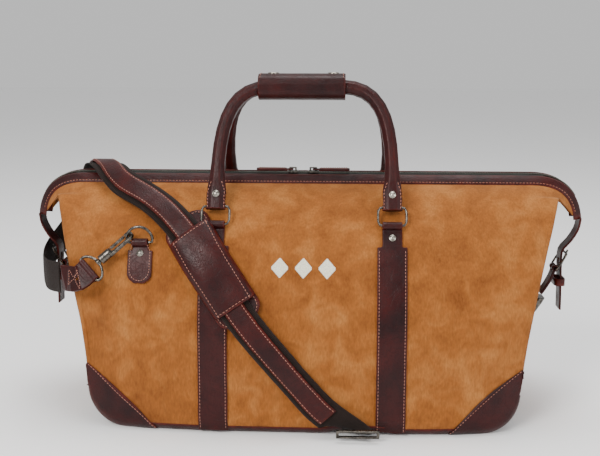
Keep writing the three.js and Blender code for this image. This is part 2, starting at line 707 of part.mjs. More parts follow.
// Webbing from the front hook round the left end, over the top, down the front and under the base
function strapRoute() {
  const under = 0.6;
  const [, , front] = strapEndRoute(-1, 1);
  const [, , back] = strapEndRoute(1, -1);
  return [
    { at: front.at.clone().add(vec(-3, 1.6, 0)), out: front.out },
    station([-294, -72, 168], [-0.85, -0.5, 0]),
    station([-311, -28, 171], [-0.98, -0.2, 0]),
    station([-313, 12, 180], [-1, 0.15, 0]),
    station([-303, 50, 198], [-0.8, 0.6, 0.1]),
    station([-287, 74, 225], [-0.3, 0.85, 0.4]),
    station([-270, 58, 258], [0, 0.75, 0.65]),
    station([-252, 22, 283], [0, 0.3, 0.95]),
    station([-234, -8, 285], [0, -0.2, 1]),
    station([-208, -42, 270], [0, -0.75, 0.65]),
    stationOn(-170, 246, -1, STRAP_LIFT + 2),
    stationOn(-130, 217, -1, STRAP_LIFT),
    stationOn(...PAD_MIDDLE, -1, STRAP_LIFT),
    stationOn(-72.5, 140.7, -1, STRAP_LIFT),
    stationOn(-28, 88, -1, STRAP_LIFT),
    stationOn(15, 38, -1, STRAP_LIFT),
    stationOn(45, 16, -1, STRAP_LIFT + 1.5),
    station([57, -124, 8], [0, -0.85, -0.5]),
    station([61, -114, 0.8], [0, -0.2, -0.98]),
    station([66, -88, under], [0, 0, -1]),
    station([76, 0, under], [0, 0, -1]),
    station([86, 88, under], [0, 0, -1]),
    station([89, 113, 0.8], [0, 0.2, -0.98]),
    station([93, 129, 8], [0, 0.88, -0.48]),
    stationOn(97, 26, 1, STRAP_LIFT + 2),
    stationOn(102, 90, 1, STRAP_LIFT + 3),
    { at: back.at.clone().add(vec(-1, 0.6, -4)), out: back.out },
  ];
}

function makePad() {
  const group = surfaceGroup(...PAD_MIDDLE, -1, STRAP_LIFT + STRIP_THICK + 2.6, -PAD_ANGLE);
  const end = PAD_LENGTH / 2;
  const half = PAD_WIDTH / 2;
  const straight = end - PAD_ROUND;
  const shape = new THREE.Shape();
  shape.moveTo(-straight, -half);
  shape.lineTo(straight, -half);
  shape.quadraticCurveTo(end, -half, end, 0);
  shape.quadraticCurveTo(end, half, straight, half);
  shape.lineTo(-straight, half);
  shape.quadraticCurveTo(-end, half, -end, 0);
  shape.quadraticCurveTo(-end, -half, -straight, -half);
  const solid = new THREE.ExtrudeGeometry(shape, { depth: PAD_THICK, bevelEnabled: false, curveSegments: 5 });
  group.add(piece('shoulder_pad', solid.translate(0, 0, 1), 'leather'));
  return group;
}

function makeStrap() {
  const slider = surfaceGroup(62, 14, -1, STRAP_LIFT + 12, 0);
  const frame = cut(boxAt(SLIDER_SIZE, [0, 0, 0]), boxAt(SLIDER_WINDOW, [0, 0, 0]));
  // The leather strip is sewn along the outside of the webbing, from the left end to the adjuster.
  const strip = band(strapRoute(), STRIP_WIDTH, STRIP_THICK, 36,
    { from: 14 / WEB_STEPS, to: 50 / WEB_STEPS, lift: STRIP_THICK + 7 * GAP });
  slider.add(piece('strap_slider', frame, 'metal'));
  return [
    piece('strap_webbing', band(strapRoute(), WEB_WIDTH, WEB_THICK, WEB_STEPS), 'webbing'),
    piece('strap_leather', strip, 'leather'),
    makePad(),
    slider,
  ];
}

// ---- Side straps: they hold the wings down to the ends ----

function sideBand(end, points, width, thickness, steps) {
  const stations = points.map(([x, z], i) => {
    const [bx, bz] = points[Math.max(0, i - 1)];
    const [ax, az] = points[Math.min(points.length - 1, i + 1)];
    return { at: vec(end * x, 0, z), out: vec(end * (bz - az), 0, ax - bx).normalize() };
  });
  return band(stations, width, thickness, steps);
}

function makeSideStrap(label, end) {
  const group = new THREE.Group();
  const strap = [
    [321, 227], [319, 214], [311, 199], [302, 188],
    [301, 177], [301.4, 166], [302, 150], [303, 116],
  ];
  const slot = boxAt([12, 4, 15], [end * 301, 0, 170]);
  const strapSolid = sideBand(end, strap, SIDE_WIDTH, SIDE_THICK, 18);
  group.add(piece(`side_strap_${label}`, cut(strapSolid, slot), 'leather'));

  const { x: barX, z: barZ } = BUCKLE_BAR;
  const tab = [[barX + 1.5, barZ], [292, 155], [286, 143], [280, 134]];
  const rod = (radius, length) => cylinderAlong('y', radius, length, vec(end * barX, 0, barZ), 12);
  const tabSolid = join(sideBand(end, tab, SIDE_WIDTH - 3, TAB_THICK, 6), rod(3.9, SIDE_WIDTH - 3));
  const prongSlot = boxAt([12, 4.4, 12], [end * (barX + 1), 0, barZ + 2]);
  group.add(piece(`side_tab_${label}`, cut(tabSolid, rod(1.9, SIDE_WIDTH), prongSlot), 'leather'));

  const clip = loft([[0, 11, 5], [-6, 10, 5], [-24, 5, 2.5]].map(([drop, wide, deep]) => (
    outline(deep, wide, 0.5, 12).map(([x, y]) => vec(end * (279 + drop * 0.45 + x), y, 130 + drop)))));
  group.add(piece(`side_clip_${label}`, clip, 'metal'));

  const frame = [
    [0, -13], [0, -7], [0, 0], [0, 7], [0, 13], [6, BUCKLE_HALF], [16, BUCKLE_HALF], [22, 13],
    [22, 7], [22, 0], [22, -7], [22, -13], [16, -BUCKLE_HALF], [6, -BUCKLE_HALF],
  ].map(([h, y]) => vec(end * (barX + h * 0.5), y, barZ + h * 0.866));
  group.add(piece(`side_buckle_${label}`, wireLoop(frame, 1.4, 22), 'metal'));

  const eye = cylinderAlong('y', 3, 3, vec(end * barX, 0, barZ), 12);
  const bent = [[barX + 2, barZ + 0.4], [303, 171], [308.8, 186.5]];
  const arm = bent.slice(1).map(([x, z], i) => {
    const [px, pz] = bent[i];
    const length = Math.hypot(x - px, z - pz) + 1.4;
    return new THREE.BoxGeometry(2, 2.4, length).rotateY(Math.atan2(end * (x - px), z - pz))
      .translate(end * (x + px) / 2, 0, (z + pz) / 2);
  });
  const prong = cut(join(eye, ...arm), cylinderAlong('y', 1.8, 6, vec(end * barX, 0, barZ), 12));
  group.add(piece(`side_prong_${label}`, prong, 'metal'));
  return group;
}

const bag = new THREE.Group();

bag.add(makePanel('front_panel', -1), makePanel('back_panel', 1));
bag.add(makeGusset('end_gusset_left', -1), makeGusset('end_gusset_right', 1));
bag.add(makeBase(), makeBoard(), makeLining());
for (const [label, side] of [['front', -1], ['back', 1]]) {
  for (const [hand, end] of [['left', -1], ['right', 1]]) {
    bag.add(makePatch(`corner_patch_${label}_${hand}`, end, side));
    bag.add(makePanelStrap(`panel_strap_${label}_${hand}`, end * HANDLE_X, side));
  }
  bag.add(makeHandle(label, side));
}
bag.add(...makeZip(), makeSlider(-1), makeSlider(1), ...makeWrap());
for (const [label, side, hand] of [['front', -1, 1], ['back', 1, -1]]) {
  bag.add(makeDRing(`d_ring_${label}`, side), makeDRingTab(`d_ring_tab_${label}`, side));
  bag.add(makeHook(label, side, hand));
  bag.add(makeStrapEnd(`strap_end_${label}`, side, hand));
}
bag.add(...makeStrap());
for (const [label, end] of [['left', -1], ['right', 1]]) bag.add(makeSideStrap(label, end));

export default bag;
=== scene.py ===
"""Looks of a suede weekender bag with leather trim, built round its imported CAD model.

Shapes are worked out in millimetres in the bag's frame (+X along the bag, -Y the front, +Z up)
and turned into metres as each mesh is made. Soft leather pieces start from their CAD solids,
are rounded over, and sag together with the panels.
"""

import json
import logging
import math
from dataclasses import dataclass, field
from enum import Enum
from typing import Callable, Iterable, Sequence

import bmesh
import bpy
from mathutils import Matrix, Vector, noise
from mathutils.bvhtree import BVHTree

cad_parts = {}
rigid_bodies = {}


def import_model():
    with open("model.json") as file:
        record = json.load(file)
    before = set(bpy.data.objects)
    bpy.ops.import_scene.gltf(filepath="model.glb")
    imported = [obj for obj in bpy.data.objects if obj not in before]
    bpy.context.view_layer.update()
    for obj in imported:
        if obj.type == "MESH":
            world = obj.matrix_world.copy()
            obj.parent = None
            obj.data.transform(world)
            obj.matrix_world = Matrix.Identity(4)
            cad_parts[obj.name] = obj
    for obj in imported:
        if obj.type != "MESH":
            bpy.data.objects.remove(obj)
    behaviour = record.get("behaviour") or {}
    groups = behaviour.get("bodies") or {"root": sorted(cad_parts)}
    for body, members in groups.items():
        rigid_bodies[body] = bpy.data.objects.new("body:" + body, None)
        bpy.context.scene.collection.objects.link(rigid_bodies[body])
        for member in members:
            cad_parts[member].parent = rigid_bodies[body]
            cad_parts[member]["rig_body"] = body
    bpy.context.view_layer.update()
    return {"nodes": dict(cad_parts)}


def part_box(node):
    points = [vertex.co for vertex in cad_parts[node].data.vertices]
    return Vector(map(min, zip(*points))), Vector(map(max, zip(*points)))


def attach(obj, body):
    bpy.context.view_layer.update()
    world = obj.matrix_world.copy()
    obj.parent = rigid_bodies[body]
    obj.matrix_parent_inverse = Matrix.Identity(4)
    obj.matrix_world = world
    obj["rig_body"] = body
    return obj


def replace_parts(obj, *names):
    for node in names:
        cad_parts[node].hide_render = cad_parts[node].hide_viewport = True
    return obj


LOG = logging.getLogger("weekender")
MM = 0.001

Point = Sequence[float]
Face = Callable[[float, float], Vector]

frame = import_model()


# ---------------------------------------------------------------- dimensions, in millimetres

BASE_HALF = 241.0          # half length of the base
FLARE = 49.0               # how far each end leans out at the panel's top
PANEL_TOP = 266.0
BASE_DEPTH = 122.0
SEAM_DEPTH = 20.5          # half depth where the panels meet the zip's bindings
CORNER_RADIUS = 38.0
HEM_RADIUS = 14.0
SHOULDER = 256.0
SUEDE_THICK = 2.6
LEATHER_THICK = 2.2
GAP = 0.4

ZIP_HEIGHT = 277.0
ZIP_STRAIGHT = 262.0
WING_CONTROL = 312.0
WING_TIP = (321.0, 230.0)
STRAIGHT_SHARE = 0.84
BINDING_INNER = 10.5

HANDLE_X = 98.0
RING_BAR_Y = 79.0
RING_BAR_Z = 229.0
LEAN = math.atan((RING_BAR_Y - 9.5) / (377.0 - RING_BAR_Z))
STRAP_HALF = 16.5          # half width of the straps sewn up the panels
TAB_HALF = 12.5            # half width of a handle's flat tab
WRAP_ENDS = (-55.0, 45.0)
SNAP_XS = (-38.5, 31.0)

UNDER_X = 76.0             # where the shoulder strap passes under the base
UNDER_SHIFT = 14.0
UNDER_RISE = 3.2
UNDER_HALF = 46.0
WEB_WIDTH = 35.0
WEB_THICK = 2.0
STRIP_WIDTH = 24.0
STRIP_THICK = 1.8
STRAP_LIFT = 5.8
PAD_MIDDLE = (-98.6, 179.5)
PAD_ANGLE = 0.981
PAD_LENGTH = 138.0
PAD_WIDTH = 52.0

DRING_X = 180.0
DRING_Z = 207.0
SIDE_KEEPER_Z = 150.0


def mix(low: float, high: float, share: float) -> float:
    """Value a share of the way from low to high."""
    return low + (high - low) * share


def clamp(value: float) -> float:
    """Value held between 0 and 1."""
    return min(1.0, max(0.0, value))


def smooth(value: float) -> float:
    """Smooth step from 0 to 1."""
    held = clamp(value)
    return held * held * (3.0 - 2.0 * held)


# ---------------------------------------------------------------- the body's surface


class Side(Enum):
    """The bag's two faces, each with the sign of its Y."""

    FRONT = -1
    BACK = 1

    @property
    def label(self) -> str:
        """Lower-case name used in node names."""
        return self.name.lower()


class BodyShape:
    """The stuffed bag's outer surface, as functions of X and Z."""

    @staticmethod
    def half_width(z: float) -> float:
        """Half length of a panel at a height."""
        return BASE_HALF + FLARE * (z / PANEL_TOP) ** 2

    @staticmethod
    def corner_rise(x: float) -> float:
        """Height of the bottom line where it rounds up at a corner."""
        past = max(0.0, abs(x) - (BASE_HALF - CORNER_RADIUS))
        return CORNER_RADIUS - math.sqrt(max(0.0, CORNER_RADIUS**2 - past**2))

    @staticmethod
    def strap_rise(x: float, y: float) -> float:
        """How far the strap passing beneath presses the base up."""
        middle = UNDER_X + UNDER_SHIFT * y / BASE_DEPTH
        return UNDER_RISE * smooth(1.7 * (1.0 - abs(x - middle) / UNDER_HALF))

    @staticmethod
    def hem_inset(height: float) -> float:
        """How far the rounded hem draws in, at a height above the bottom line."""
        t = clamp(1.0 - height / HEM_RADIUS)
        return HEM_RADIUS * (1.0 - math.sqrt(max(0.0, 1.0 - t * t)))

    @classmethod
    def half_depth(cls, x: float, z: float) -> float:
        """Half depth of the full body, before the hem is rounded."""
        fullness = (1.0 - min(1.0, max(0.0, z) / PANEL_TOP) ** 3.2) ** 0.7
        side = min(1.0, abs(x) / cls.half_width(z))
        return SEAM_DEPTH + (BASE_DEPTH - SEAM_DEPTH) * fullness * (1.0 - 0.2 * side**4)

    @classmethod
    def bottom(cls, x: float, side: Side) -> float:
        """Height of the bottom line at X."""
        return cls.corner_rise(x) + cls.strap_rise(x, side.value * BASE_DEPTH)

    @classmethod
    def point(cls, x: float, z: float, side: Side) -> Vector:
        """Point of a panel's outer face."""
        depth = cls.half_depth(x, z) - cls.hem_inset(z - cls.bottom(x, side))
        return Vector((x, side.value * depth, z))

    @classmethod
    def normal(cls, x: float, z: float, side: Side) -> Vector:
        """Outward normal of a panel at (x, z)."""
        here = cls.point(x, z, side)
        dx = cls.point(x + 0.5, z, side) - here
        dz = cls.point(x, z + 0.5, side) - here
        normal = dx.cross(dz).normalized()
        return normal if normal.y * side.value > 0 else -normal

    @classmethod
    def above(cls, x: float, z: float, side: Side, lift: float) -> Vector:
        """Point that stands lift above a panel."""
        return cls.point(x, z, side) + cls.normal(x, z, side) * lift

    @staticmethod
    def zip_point(share: float, y: float, rise: float) -> Vector:
        """Point beside the zip line, at a signed share of its half length.

        Args:
            share: -1 at the left wing's tip, 0 in the middle and 1 at the right tip.
            y: distance from the middle plane.
            rise: height above the zip line, along its own normal.

        Returns:
            The point in the row frame.
        """
        far = abs(share)
        sign = -1.0 if share < 0 else 1.0
        if far <= STRAIGHT_SHARE:
            return Vector((share / STRAIGHT_SHARE * ZIP_STRAIGHT, y, ZIP_HEIGHT + rise))
        t = (far - STRAIGHT_SHARE) / (1.0 - STRAIGHT_SHARE)
        controls = ((ZIP_STRAIGHT, ZIP_HEIGHT), (WING_CONTROL, ZIP_HEIGHT), WING_TIP)
        (ax, az), (bx, bz), (cx, cz) = controls
        x = (1 - t) ** 2 * ax + 2 * t * (1 - t) * bx + t * t * cx
        z = (1 - t) ** 2 * az + 2 * t * (1 - t) * bz + t * t * cz
        slope_x = 2 * (1 - t) * (bx - ax) + 2 * t * (cx - bx)
        slope_z = 2 * (1 - t) * (bz - az) + 2 * t * (cz - bz)
        length = math.hypot(slope_x, slope_z)
        normal_x, normal_z = -slope_z / length, slope_x / length
        narrow = 1.0 - 0.35 * t * t
        return Vector((sign * (x + normal_x * rise), y * narrow, z + normal_z * rise))


@dataclass(frozen=True)
class Calm:
    """A place where stiff fittings hold the suede still."""

    x: float
    z: float
    radius: float

    def ease(self, x: float, z: float) -> float:
        """0 inside the calm place, 1 well away from it."""
        return smooth((math.hypot(x - self.x, z - self.z) - self.radius) / 45.0)


class Sag:
    """The soft dents and swells that every piece lying on the body shares."""

    CALM = {
        Side.FRONT: (Calm(-HANDLE_X, 238, 22), Calm(HANDLE_X, 238, 22),
                     Calm(-DRING_X - 8, 204, 34), Calm(-228, 184, 30), Calm(62, 10, 24)),
        Side.BACK: (Calm(-HANDLE_X, 238, 22), Calm(HANDLE_X, 238, 22),
                    Calm(DRING_X - 8, 204, 40), Calm(136, 184, 40)),
    }

    @classmethod
    def depth(cls, x: float, z: float, side: Side) -> float:
        """How far the body dents in at (x, z)."""
        seed = 11.0 if side is Side.FRONT else 37.0
        broad = noise.noise(Vector((x / 105.0, z / 82.0, seed)))
        small = noise.noise(Vector((x / 41.0 + 0.4 * z / 41.0, z / 52.0, seed + 5.0)))
        drag = 0.0
        for end in (-1.0, 1.0):
            corner = Vector((end * 262.0, 262.0))
            reach = Vector((x, z)) - corner
            angle = math.atan2(reach.y, -end * reach.x)
            fade = math.exp(-((reach.length - 46.0) / 42.0) ** 2)
            drag += fade * (0.5 + 0.5 * math.sin(angle * 11.0 + end)) * 2.3
        return 1.9 + 4.6 * broad + 1.9 * small + drag

    @classmethod
    def moved(cls, point: Vector) -> Vector:
        """A point of the rest shape, moved by the sag.

        Args:
            point: where the piece's point is on the smooth body, in millimetres.

        Returns:
            The point after the suede has settled.
        """
        side = Side.FRONT if point.y < 0 else Side.BACK
        held = smooth((abs(point.y) - 24.0) / 46.0) * smooth((point.z - 8.0) / 44.0)
        held *= smooth((292.0 - abs(point.x)) / 40.0) * smooth((300.0 - point.z) / 20.0)
        if held <= 0.0:
            return point.copy()
        for calm in cls.CALM[side]:
            held *= calm.ease(point.x, point.z)
        inward = cls.depth(point.x, point.z, side) * held
        return Vector((point.x, point.y - side.value * inward, point.z))


# ---------------------------------------------------------------- mesh helpers


class MeshMaker:
    """Makes plain mesh objects, at the origin, from shapes in millimetres."""

    @staticmethod
    def link(name: str, mesh: bpy.types.Mesh) -> bpy.types.Object:
        """Object for a mesh, linked to the scene."""
        made = bpy.data.objects.new(name, mesh)
        bpy.context.scene.collection.objects.link(made)
        return made

    @classmethod
    def from_parts(cls, name: str, points: Iterable[Point], faces: Iterable[Sequence[int]],
                   smooth_faces: bool = True) -> bpy.types.Object:
        """Object from points in millimetres and faces, with its faces turned outwards.

        Args:
            name: the object's name.
            points: vertex positions in millimetres.
            faces: vertex numbers of each face.
            smooth_faces: whether the faces are shaded smooth.

        Returns:
            The linked object.
        """
        mesh = bpy.data.meshes.new(name)
        mesh.from_pydata([[c * MM for c in p] for p in points], [], [list(f) for f in faces])
        cls.tidy(mesh, smooth_faces)
        return cls.link(name, mesh)

    @staticmethod
    def tidy(mesh: bpy.types.Mesh, smooth_faces: bool = True) -> None:
        """Merges doubles, turns faces outwards and sets the shading."""
        work = bmesh.new()
        work.from_mesh(mesh)
        bmesh.ops.remove_doubles(work, verts=work.verts, dist=1e-6)
        bmesh.ops.recalc_face_normals(work, faces=work.faces)
        work.to_mesh(mesh)
        work.free()
        mesh.polygons.foreach_set("use_smooth", [smooth_faces] * len(mesh.polygons))
        mesh.update()

    @classmethod
    def sheet(cls, name: str, face: Face, across: int, along: int, thickness: float,
              size: tuple[float, float], outward: Face | None = None) -> bpy.types.Object:
        """Closed sheet with softly rounded edges and a UV map in metres named "weave".

        Args:
            name: the object's name.
            face: outer face as a function of (u, v), each from 0 to 1.
            across: number of cells along u.
            along: number of cells along v.
            thickness: thickness in millimetres, measured inwards from the face.
            size: real width and length in millimetres, for the UV map.
            outward: outward direction as a function of (u, v), where the face's own isn't steady.

        Returns:
            The linked object.
        """
        step = 1e-3
        outer: list[Vector] = []
        inner: list[Vector] = []
        uvs: list[tuple[float, float]] = []
        for j in range(along + 1):
            for i in range(across + 1):
                u, v = i / across, j / along
                u0, v0 = min(u, 1 - step), min(v, 1 - step)
                here = face(u0, v0)
                if outward:
                    normal = outward(u, v)
                else:
                    normal = (face(u0 + step, v0) - here).cross(face(u0, v0 + step) - here).normalized()
                edge = min(u * size[0], (1 - u) * size[0], v * size[1], (1 - v) * size[1])
                pinch = 0.32 * thickness * (1.0 - smooth(edge / (0.9 * thickness)))
                at = face(u, v)
                outer.append(at - normal * pinch)
                inner.append(at - normal * (thickness - pinch))
                uvs.append((u * size[0] * MM, v * size[1] * MM))
        points = outer + inner
        row, half = across + 1, len(outer)
        faces = []
        for j in range(along):
            for i in range(across):
                a = j * row + i
                faces.append((a, a + 1, a + row + 1, a + row))
                faces.append((half + a, half + a + row, half + a + row + 1, half + a + 1))
        border = [i for i in range(across)]
        border += [j * row + across for j in range(along)]
        border += [along * row + i for i in range(across, 0, -1)]
        border += [j * row for j in range(along, 0, -1)]
        for a, b in zip(border, border[1:] + border[:1]):
            faces.append((a, half + a, half + b, b))
        mesh = bpy.data.meshes.new(name)
        mesh.from_pydata([p * MM for p in points], [], faces)
        layer = mesh.uv_layers.new(name="weave")
        for loop in mesh.loops:
            layer.data[loop.index].uv = uvs[loop.vertex_index % half]
        work = bmesh.new()
        work.from_mesh(mesh)
        bmesh.ops.recalc_face_normals(work, faces=work.faces)
        work.to_mesh(mesh)
        work.free()
        mesh.polygons.foreach_set("use_smooth", [True] * len(mesh.polygons))
        return cls.link(name, mesh)

    @classmethod
    def lathe(cls, name: str, profile: Sequence[tuple[float, float]], sides: int,
              place: Matrix) -> bpy.types.Object:
        """Solid turned round its own Z axis.

        Args:
            name: the object's name.
            profile: (radius, height) pairs from the axis at the bottom to the axis at the top.
            sides: number of sides round the axis.
            place: where the solid goes, in millimetres.

        Returns:
            The linked object.
        """
        points: list[Vector] = []
        faces: list[tuple[int, ...]] = []
        for radius, height in profile:
            for k in range(sides):
                turn = 2 * math.pi * k / sides
                points.append(place @ Vector((radius * math.cos(turn), radius * math.sin(turn), height)))
        for r in range(len(profile) - 1):
            for k in range(sides):
                a, b = r * sides + k, r * sides + (k + 1) % sides
                faces.append((a, b, b + sides, a + sides))
        return cls.from_parts(name, points, faces)

    @staticmethod
    def joined(name: str, pieces: Sequence[bpy.types.Object]) -> bpy.types.Object:
        """One object holding the meshes of several, which are removed."""
        work = bmesh.new()
        for made in pieces:
            work.from_mesh(made.data)
        mesh = bpy.data.meshes.new(name)
        work.to_mesh(mesh)
        work.free()
        for made in pieces:
            bpy.data.objects.remove(made)
        return MeshMaker.link(name, mesh)

    @staticmethod
    def baked(obj: bpy.types.Object) -> None:
        """Applies an object's modifiers to its mesh, and removes them."""
        graph = bpy.context.evaluated_depsgraph_get()
        mesh = bpy.data.meshes.new_from_object(obj.evaluated_get(graph))
        obj.modifiers.clear()
        obj.data = mesh


class Surface:
    """Looks up places on finished meshes, in millimetres."""

    def __init__(self, *objects: bpy.types.Object) -> None:
        """Gathers the objects' faces into one search tree."""
        points: list[Vector] = []
        faces: list[tuple[int, ...]] = []
        for obj in objects:
            first = len(points)
            points.extend(v.co / MM for v in obj.data.vertices)
            faces.extend(tuple(first + i for i in p.vertices) for p in obj.data.polygons)
        self.tree = BVHTree.FromPolygons(points, faces)

    def snapped(self, point: Vector, lift: float = 0.0) -> Vector:
        """Nearest place on the surface, raised by lift."""
        at, normal, _, _ = self.tree.find_nearest(point)
        return at + normal * lift

    def struck(self, start: Vector, direction: Vector) -> tuple[Vector, Vector]:
        """Place and normal where a ray meets the surface, or the nearest place if it misses."""
        at, normal, _, _ = self.tree.ray_cast(start, direction.normalized())
        if at is None:
            at, normal, _, _ = self.tree.find_nearest(start)
        return at, normal


def facing(at: Vector, normal: Vector) -> Matrix:
    """Placement whose Z axis is normal."""
    return Matrix.Translation(at) @ normal.to_track_quat("Z", "Y").to_matrix().to_4x4()


# ---------------------------------------------------------------- finishes


class NodeBuilder:
    """Adds and links the nodes of one node tree."""

    def __init__(self, tree: bpy.types.NodeTree) -> None:
        """Works on tree."""
        self.tree = tree

    def add(self, kind: str, values: dict | None = None, **settings) -> bpy.types.Node:
        """New node with settings and socket values.

        Args:
            kind: the node's type name.
            values: socket values by name or number.
            settings: the node's own properties.

        Returns:
            The new node.
        """
        made = self.tree.nodes.new(kind)
        for name, value in settings.items():
            setattr(made, name, value)
        for name, value in (values or {}).items():
            made.inputs[name].default_value = value
        return made

    def link(self, source: bpy.types.NodeSocket, target: bpy.types.NodeSocket) -> None:
        """Joins two sockets."""
        self.tree.links.new(source, target)

    def noise(self, place: bpy.types.NodeSocket, scale: float, detail: float = 3.0,
              distortion: float = 0.0) -> bpy.types.NodeSocket:
        """Noise value at a place."""
        made = self.add("ShaderNodeTexNoise",
                        {"Scale": scale, "Detail": detail, "Distortion": distortion})
        self.link(place, made.inputs["Vector"])
        return made.outputs["Fac"]

    def ramp(self, factor: bpy.types.NodeSocket,
             stops: Sequence[tuple[float, tuple[float, float, float]]]) -> bpy.types.NodeSocket:
        """Colour from a factor through stops of (position, colour)."""
        made = self.add("ShaderNodeValToRGB")
        elements = made.color_ramp.elements
        while len(elements) < len(stops):
            elements.new(0.5)
        for element, (position, colour) in zip(elements, stops):
            element.position = position
            element.color = (*colour, 1.0)
        self.link(factor, made.inputs["Fac"])
        return made.outputs["Color"]

    def blend(self, factor: bpy.types.NodeSocket | float, low, high,
              kind: str = "MIX") -> bpy.types.NodeSocket:
        """Two colours mixed; each is a socket or a colour."""
        made = self.add("ShaderNodeMix", data_type="RGBA", blend_type=kind)
        sockets = {"Factor": made.inputs[0], "A": made.inputs[6], "B": made.inputs[7]}
        for key, value in (("Factor", factor), ("A", low), ("B", high)):
            if isinstance(value, bpy.types.NodeSocket):
                self.link(value, sockets[key])
            elif key == "Factor":
                sockets[key].default_value = value
            else:
                sockets[key].default_value = (*value, 1.0)
        return made.outputs[2]

    def maths(self, kind: str, first, second=0.0, third=0.0) -> bpy.types.NodeSocket:
        """Result of a sum on sockets or numbers."""
        made = self.add("ShaderNodeMath", operation=kind)
        for socket, value in zip(made.inputs, (first, second, third)):
            if isinstance(value, bpy.types.NodeSocket):
                self.link(value, socket)
            else:
                socket.default_value = value
        return made.outputs[0]

    def ranged(self, value: bpy.types.NodeSocket, low: float, high: float,
               to_low: float, to_high: float) -> bpy.types.NodeSocket:
        """Value moved from one range to another, and held in it."""
        made = self.add("ShaderNodeMapRange", {"From Min": low, "From Max": high,
                                               "To Min": to_low, "To Max": to_high})
        self.link(value, made.inputs["Value"])
        return made.outputs[0]


def srgb(code: str) -> tuple[float, float, float]:
    """Linear colour from a hex code."""
    parts = [int(code[i:i + 2], 16) / 255.0 for i in (1, 3, 5)]
    return tuple(c / 12.92 if c <= 0.04045 else ((c + 0.055) / 1.055) ** 2.4 for c in parts)


class Groups:
    """Shader node groups shared by the finishes."""

    @staticmethod
    def start(name: str, inputs: dict[str, float], outputs: Sequence[str]) -> tuple:
        """New group with number inputs, a Vector input and number outputs.

        Args:
            name: the group's name.
            inputs: number inputs and their starting values.
            outputs: names of the number outputs.

        Returns:
            The tree, its builder, its input node and its output node.
        """
        tree = bpy.data.node_groups.new(name, "ShaderNodeTree")
        tree.interface.new_socket("Vector", in_out="INPUT", socket_type="NodeSocketVector")
        for key, value in inputs.items():
            socket = tree.interface.new_socket(key, in_out="INPUT", socket_type="NodeSocketFloat")
            socket.default_value = value
        for key in outputs:
            tree.interface.new_socket(key, in_out="OUTPUT", socket_type="NodeSocketFloat")
        build = NodeBuilder(tree)
        return tree, build, build.add("NodeGroupInput"), build.add("NodeGroupOutput")

    @classmethod
    def pebble(cls) -> bpy.types.NodeTree:
        """Leather grain: small rounded cells with creases wandering across them."""
        tree, build, given, out = cls.start("Pebble grain", {"Scale": 620.0}, ("Height", "Crease"))
        cells = build.add("ShaderNodeTexVoronoi", {"Randomness": 0.95}, feature="SMOOTH_F1")
        build.link(given.outputs["Vector"], cells.inputs["Vector"])
        build.link(given.outputs["Scale"], cells.inputs["Scale"])
        fold = build.noise(given.outputs["Vector"], 95.0, 4.0, 1.6)
        ridge = build.maths("ABSOLUTE", build.maths("SUBTRACT", fold, 0.5))
        crease = build.ranged(ridge, 0.0, 0.05, 0.0, 1.0)
        cell = build.maths("SUBTRACT", 1.0, cells.outputs["Distance"])
        both = build.maths("ADD", build.maths("MULTIPLY", cell, 0.55), build.maths("MULTIPLY", crease, 0.3))
        swell = build.maths("MULTIPLY", build.noise(given.outputs["Vector"], 38.0, 2.0), 0.6)
        build.link(build.maths("ADD", both, swell), out.inputs["Height"])
        # the Crease output also sets where the leather's colour is painted darker as shade
        build.link(crease, out.inputs["Crease"])
        return tree

    @classmethod
    def nap(cls) -> bpy.types.NodeTree:
        """Suede: soft patches where the nap lies one way or the other, over fine fibres."""
        tree, build, given, out = cls.start("Suede nap", {"Scale": 1.0}, ("Patch", "Fibre", "Scuff"))
        place = given.outputs["Vector"]
        broad = build.noise(place, 8.0, 6.0, 0.5)
        middle = build.noise(place, 42.0, 7.0, 0.5)
        patch = build.maths("ADD", build.maths("MULTIPLY", broad, 0.45),
                            build.maths("MULTIPLY", middle, 0.55))
        stretch = build.add("ShaderNodeMapping")
        stretch.inputs["Scale"].default_value = (1.0, 1.0, 0.35)
        stretch.inputs["Rotation"].default_value = (0.0, 0.35, 0.0)
        build.link(place, stretch.inputs["Vector"])
        fibre = build.noise(stretch.outputs[0], 520.0, 4.0, 0.3)
        scuff = build.ranged(build.noise(stretch.outputs[0], 70.0, 5.0, 1.2), 0.56, 0.74, 0.0, 1.0)
        build.link(patch, out.inputs["Patch"])
        build.link(fibre, out.inputs["Fibre"])
        build.link(scuff, out.inputs["Scuff"])
        return tree

    @classmethod
    def weave(cls) -> bpy.types.NodeTree:
        """Flat webbing: ribs running along it, crossed by a finer weft, and painted shade that darkens the
        grooves between ribs, varied by random fuzz.
        """
        tree, build, given, out = cls.start("Webbing weave", {"Rib": 1.35, "Weft": 0.95}, ("Height", "Shade"))
        apart = build.add("ShaderNodeSeparateXYZ")
        build.link(given.outputs["Vector"], apart.inputs[0])
        ribs = build.maths("DIVIDE", build.maths("MULTIPLY", apart.outputs["X"], 1 / MM),
                           given.outputs["Rib"])
        wefts = build.maths("DIVIDE", build.maths("MULTIPLY", apart.outputs["Y"], 1 / MM),
                            given.outputs["Weft"])
        along = build.maths("ABSOLUTE", build.maths("SINE", build.maths("MULTIPLY", ribs, math.pi)))
        phase = build.maths("ADD", wefts, build.maths("MULTIPLY", build.maths("FLOOR", ribs), 0.5))
        across = build.maths("ABSOLUTE", build.maths("SINE", build.maths("MULTIPLY", phase, math.pi)))
        height = build.maths("MULTIPLY", along,
                             build.maths("ADD", 0.45, build.maths("MULTIPLY", across, 0.55)))
        build.link(height, out.inputs["Height"])
        # painted shade: the colour output follows the rib height, dark in the grooves, varied by random fuzz
        fuzz = build.noise(given.outputs["Vector"], 260.0, 3.0)
        build.link(build.maths("MULTIPLY", height, build.maths("ADD", 0.6, fuzz)), out.inputs["Shade"])
        return tree


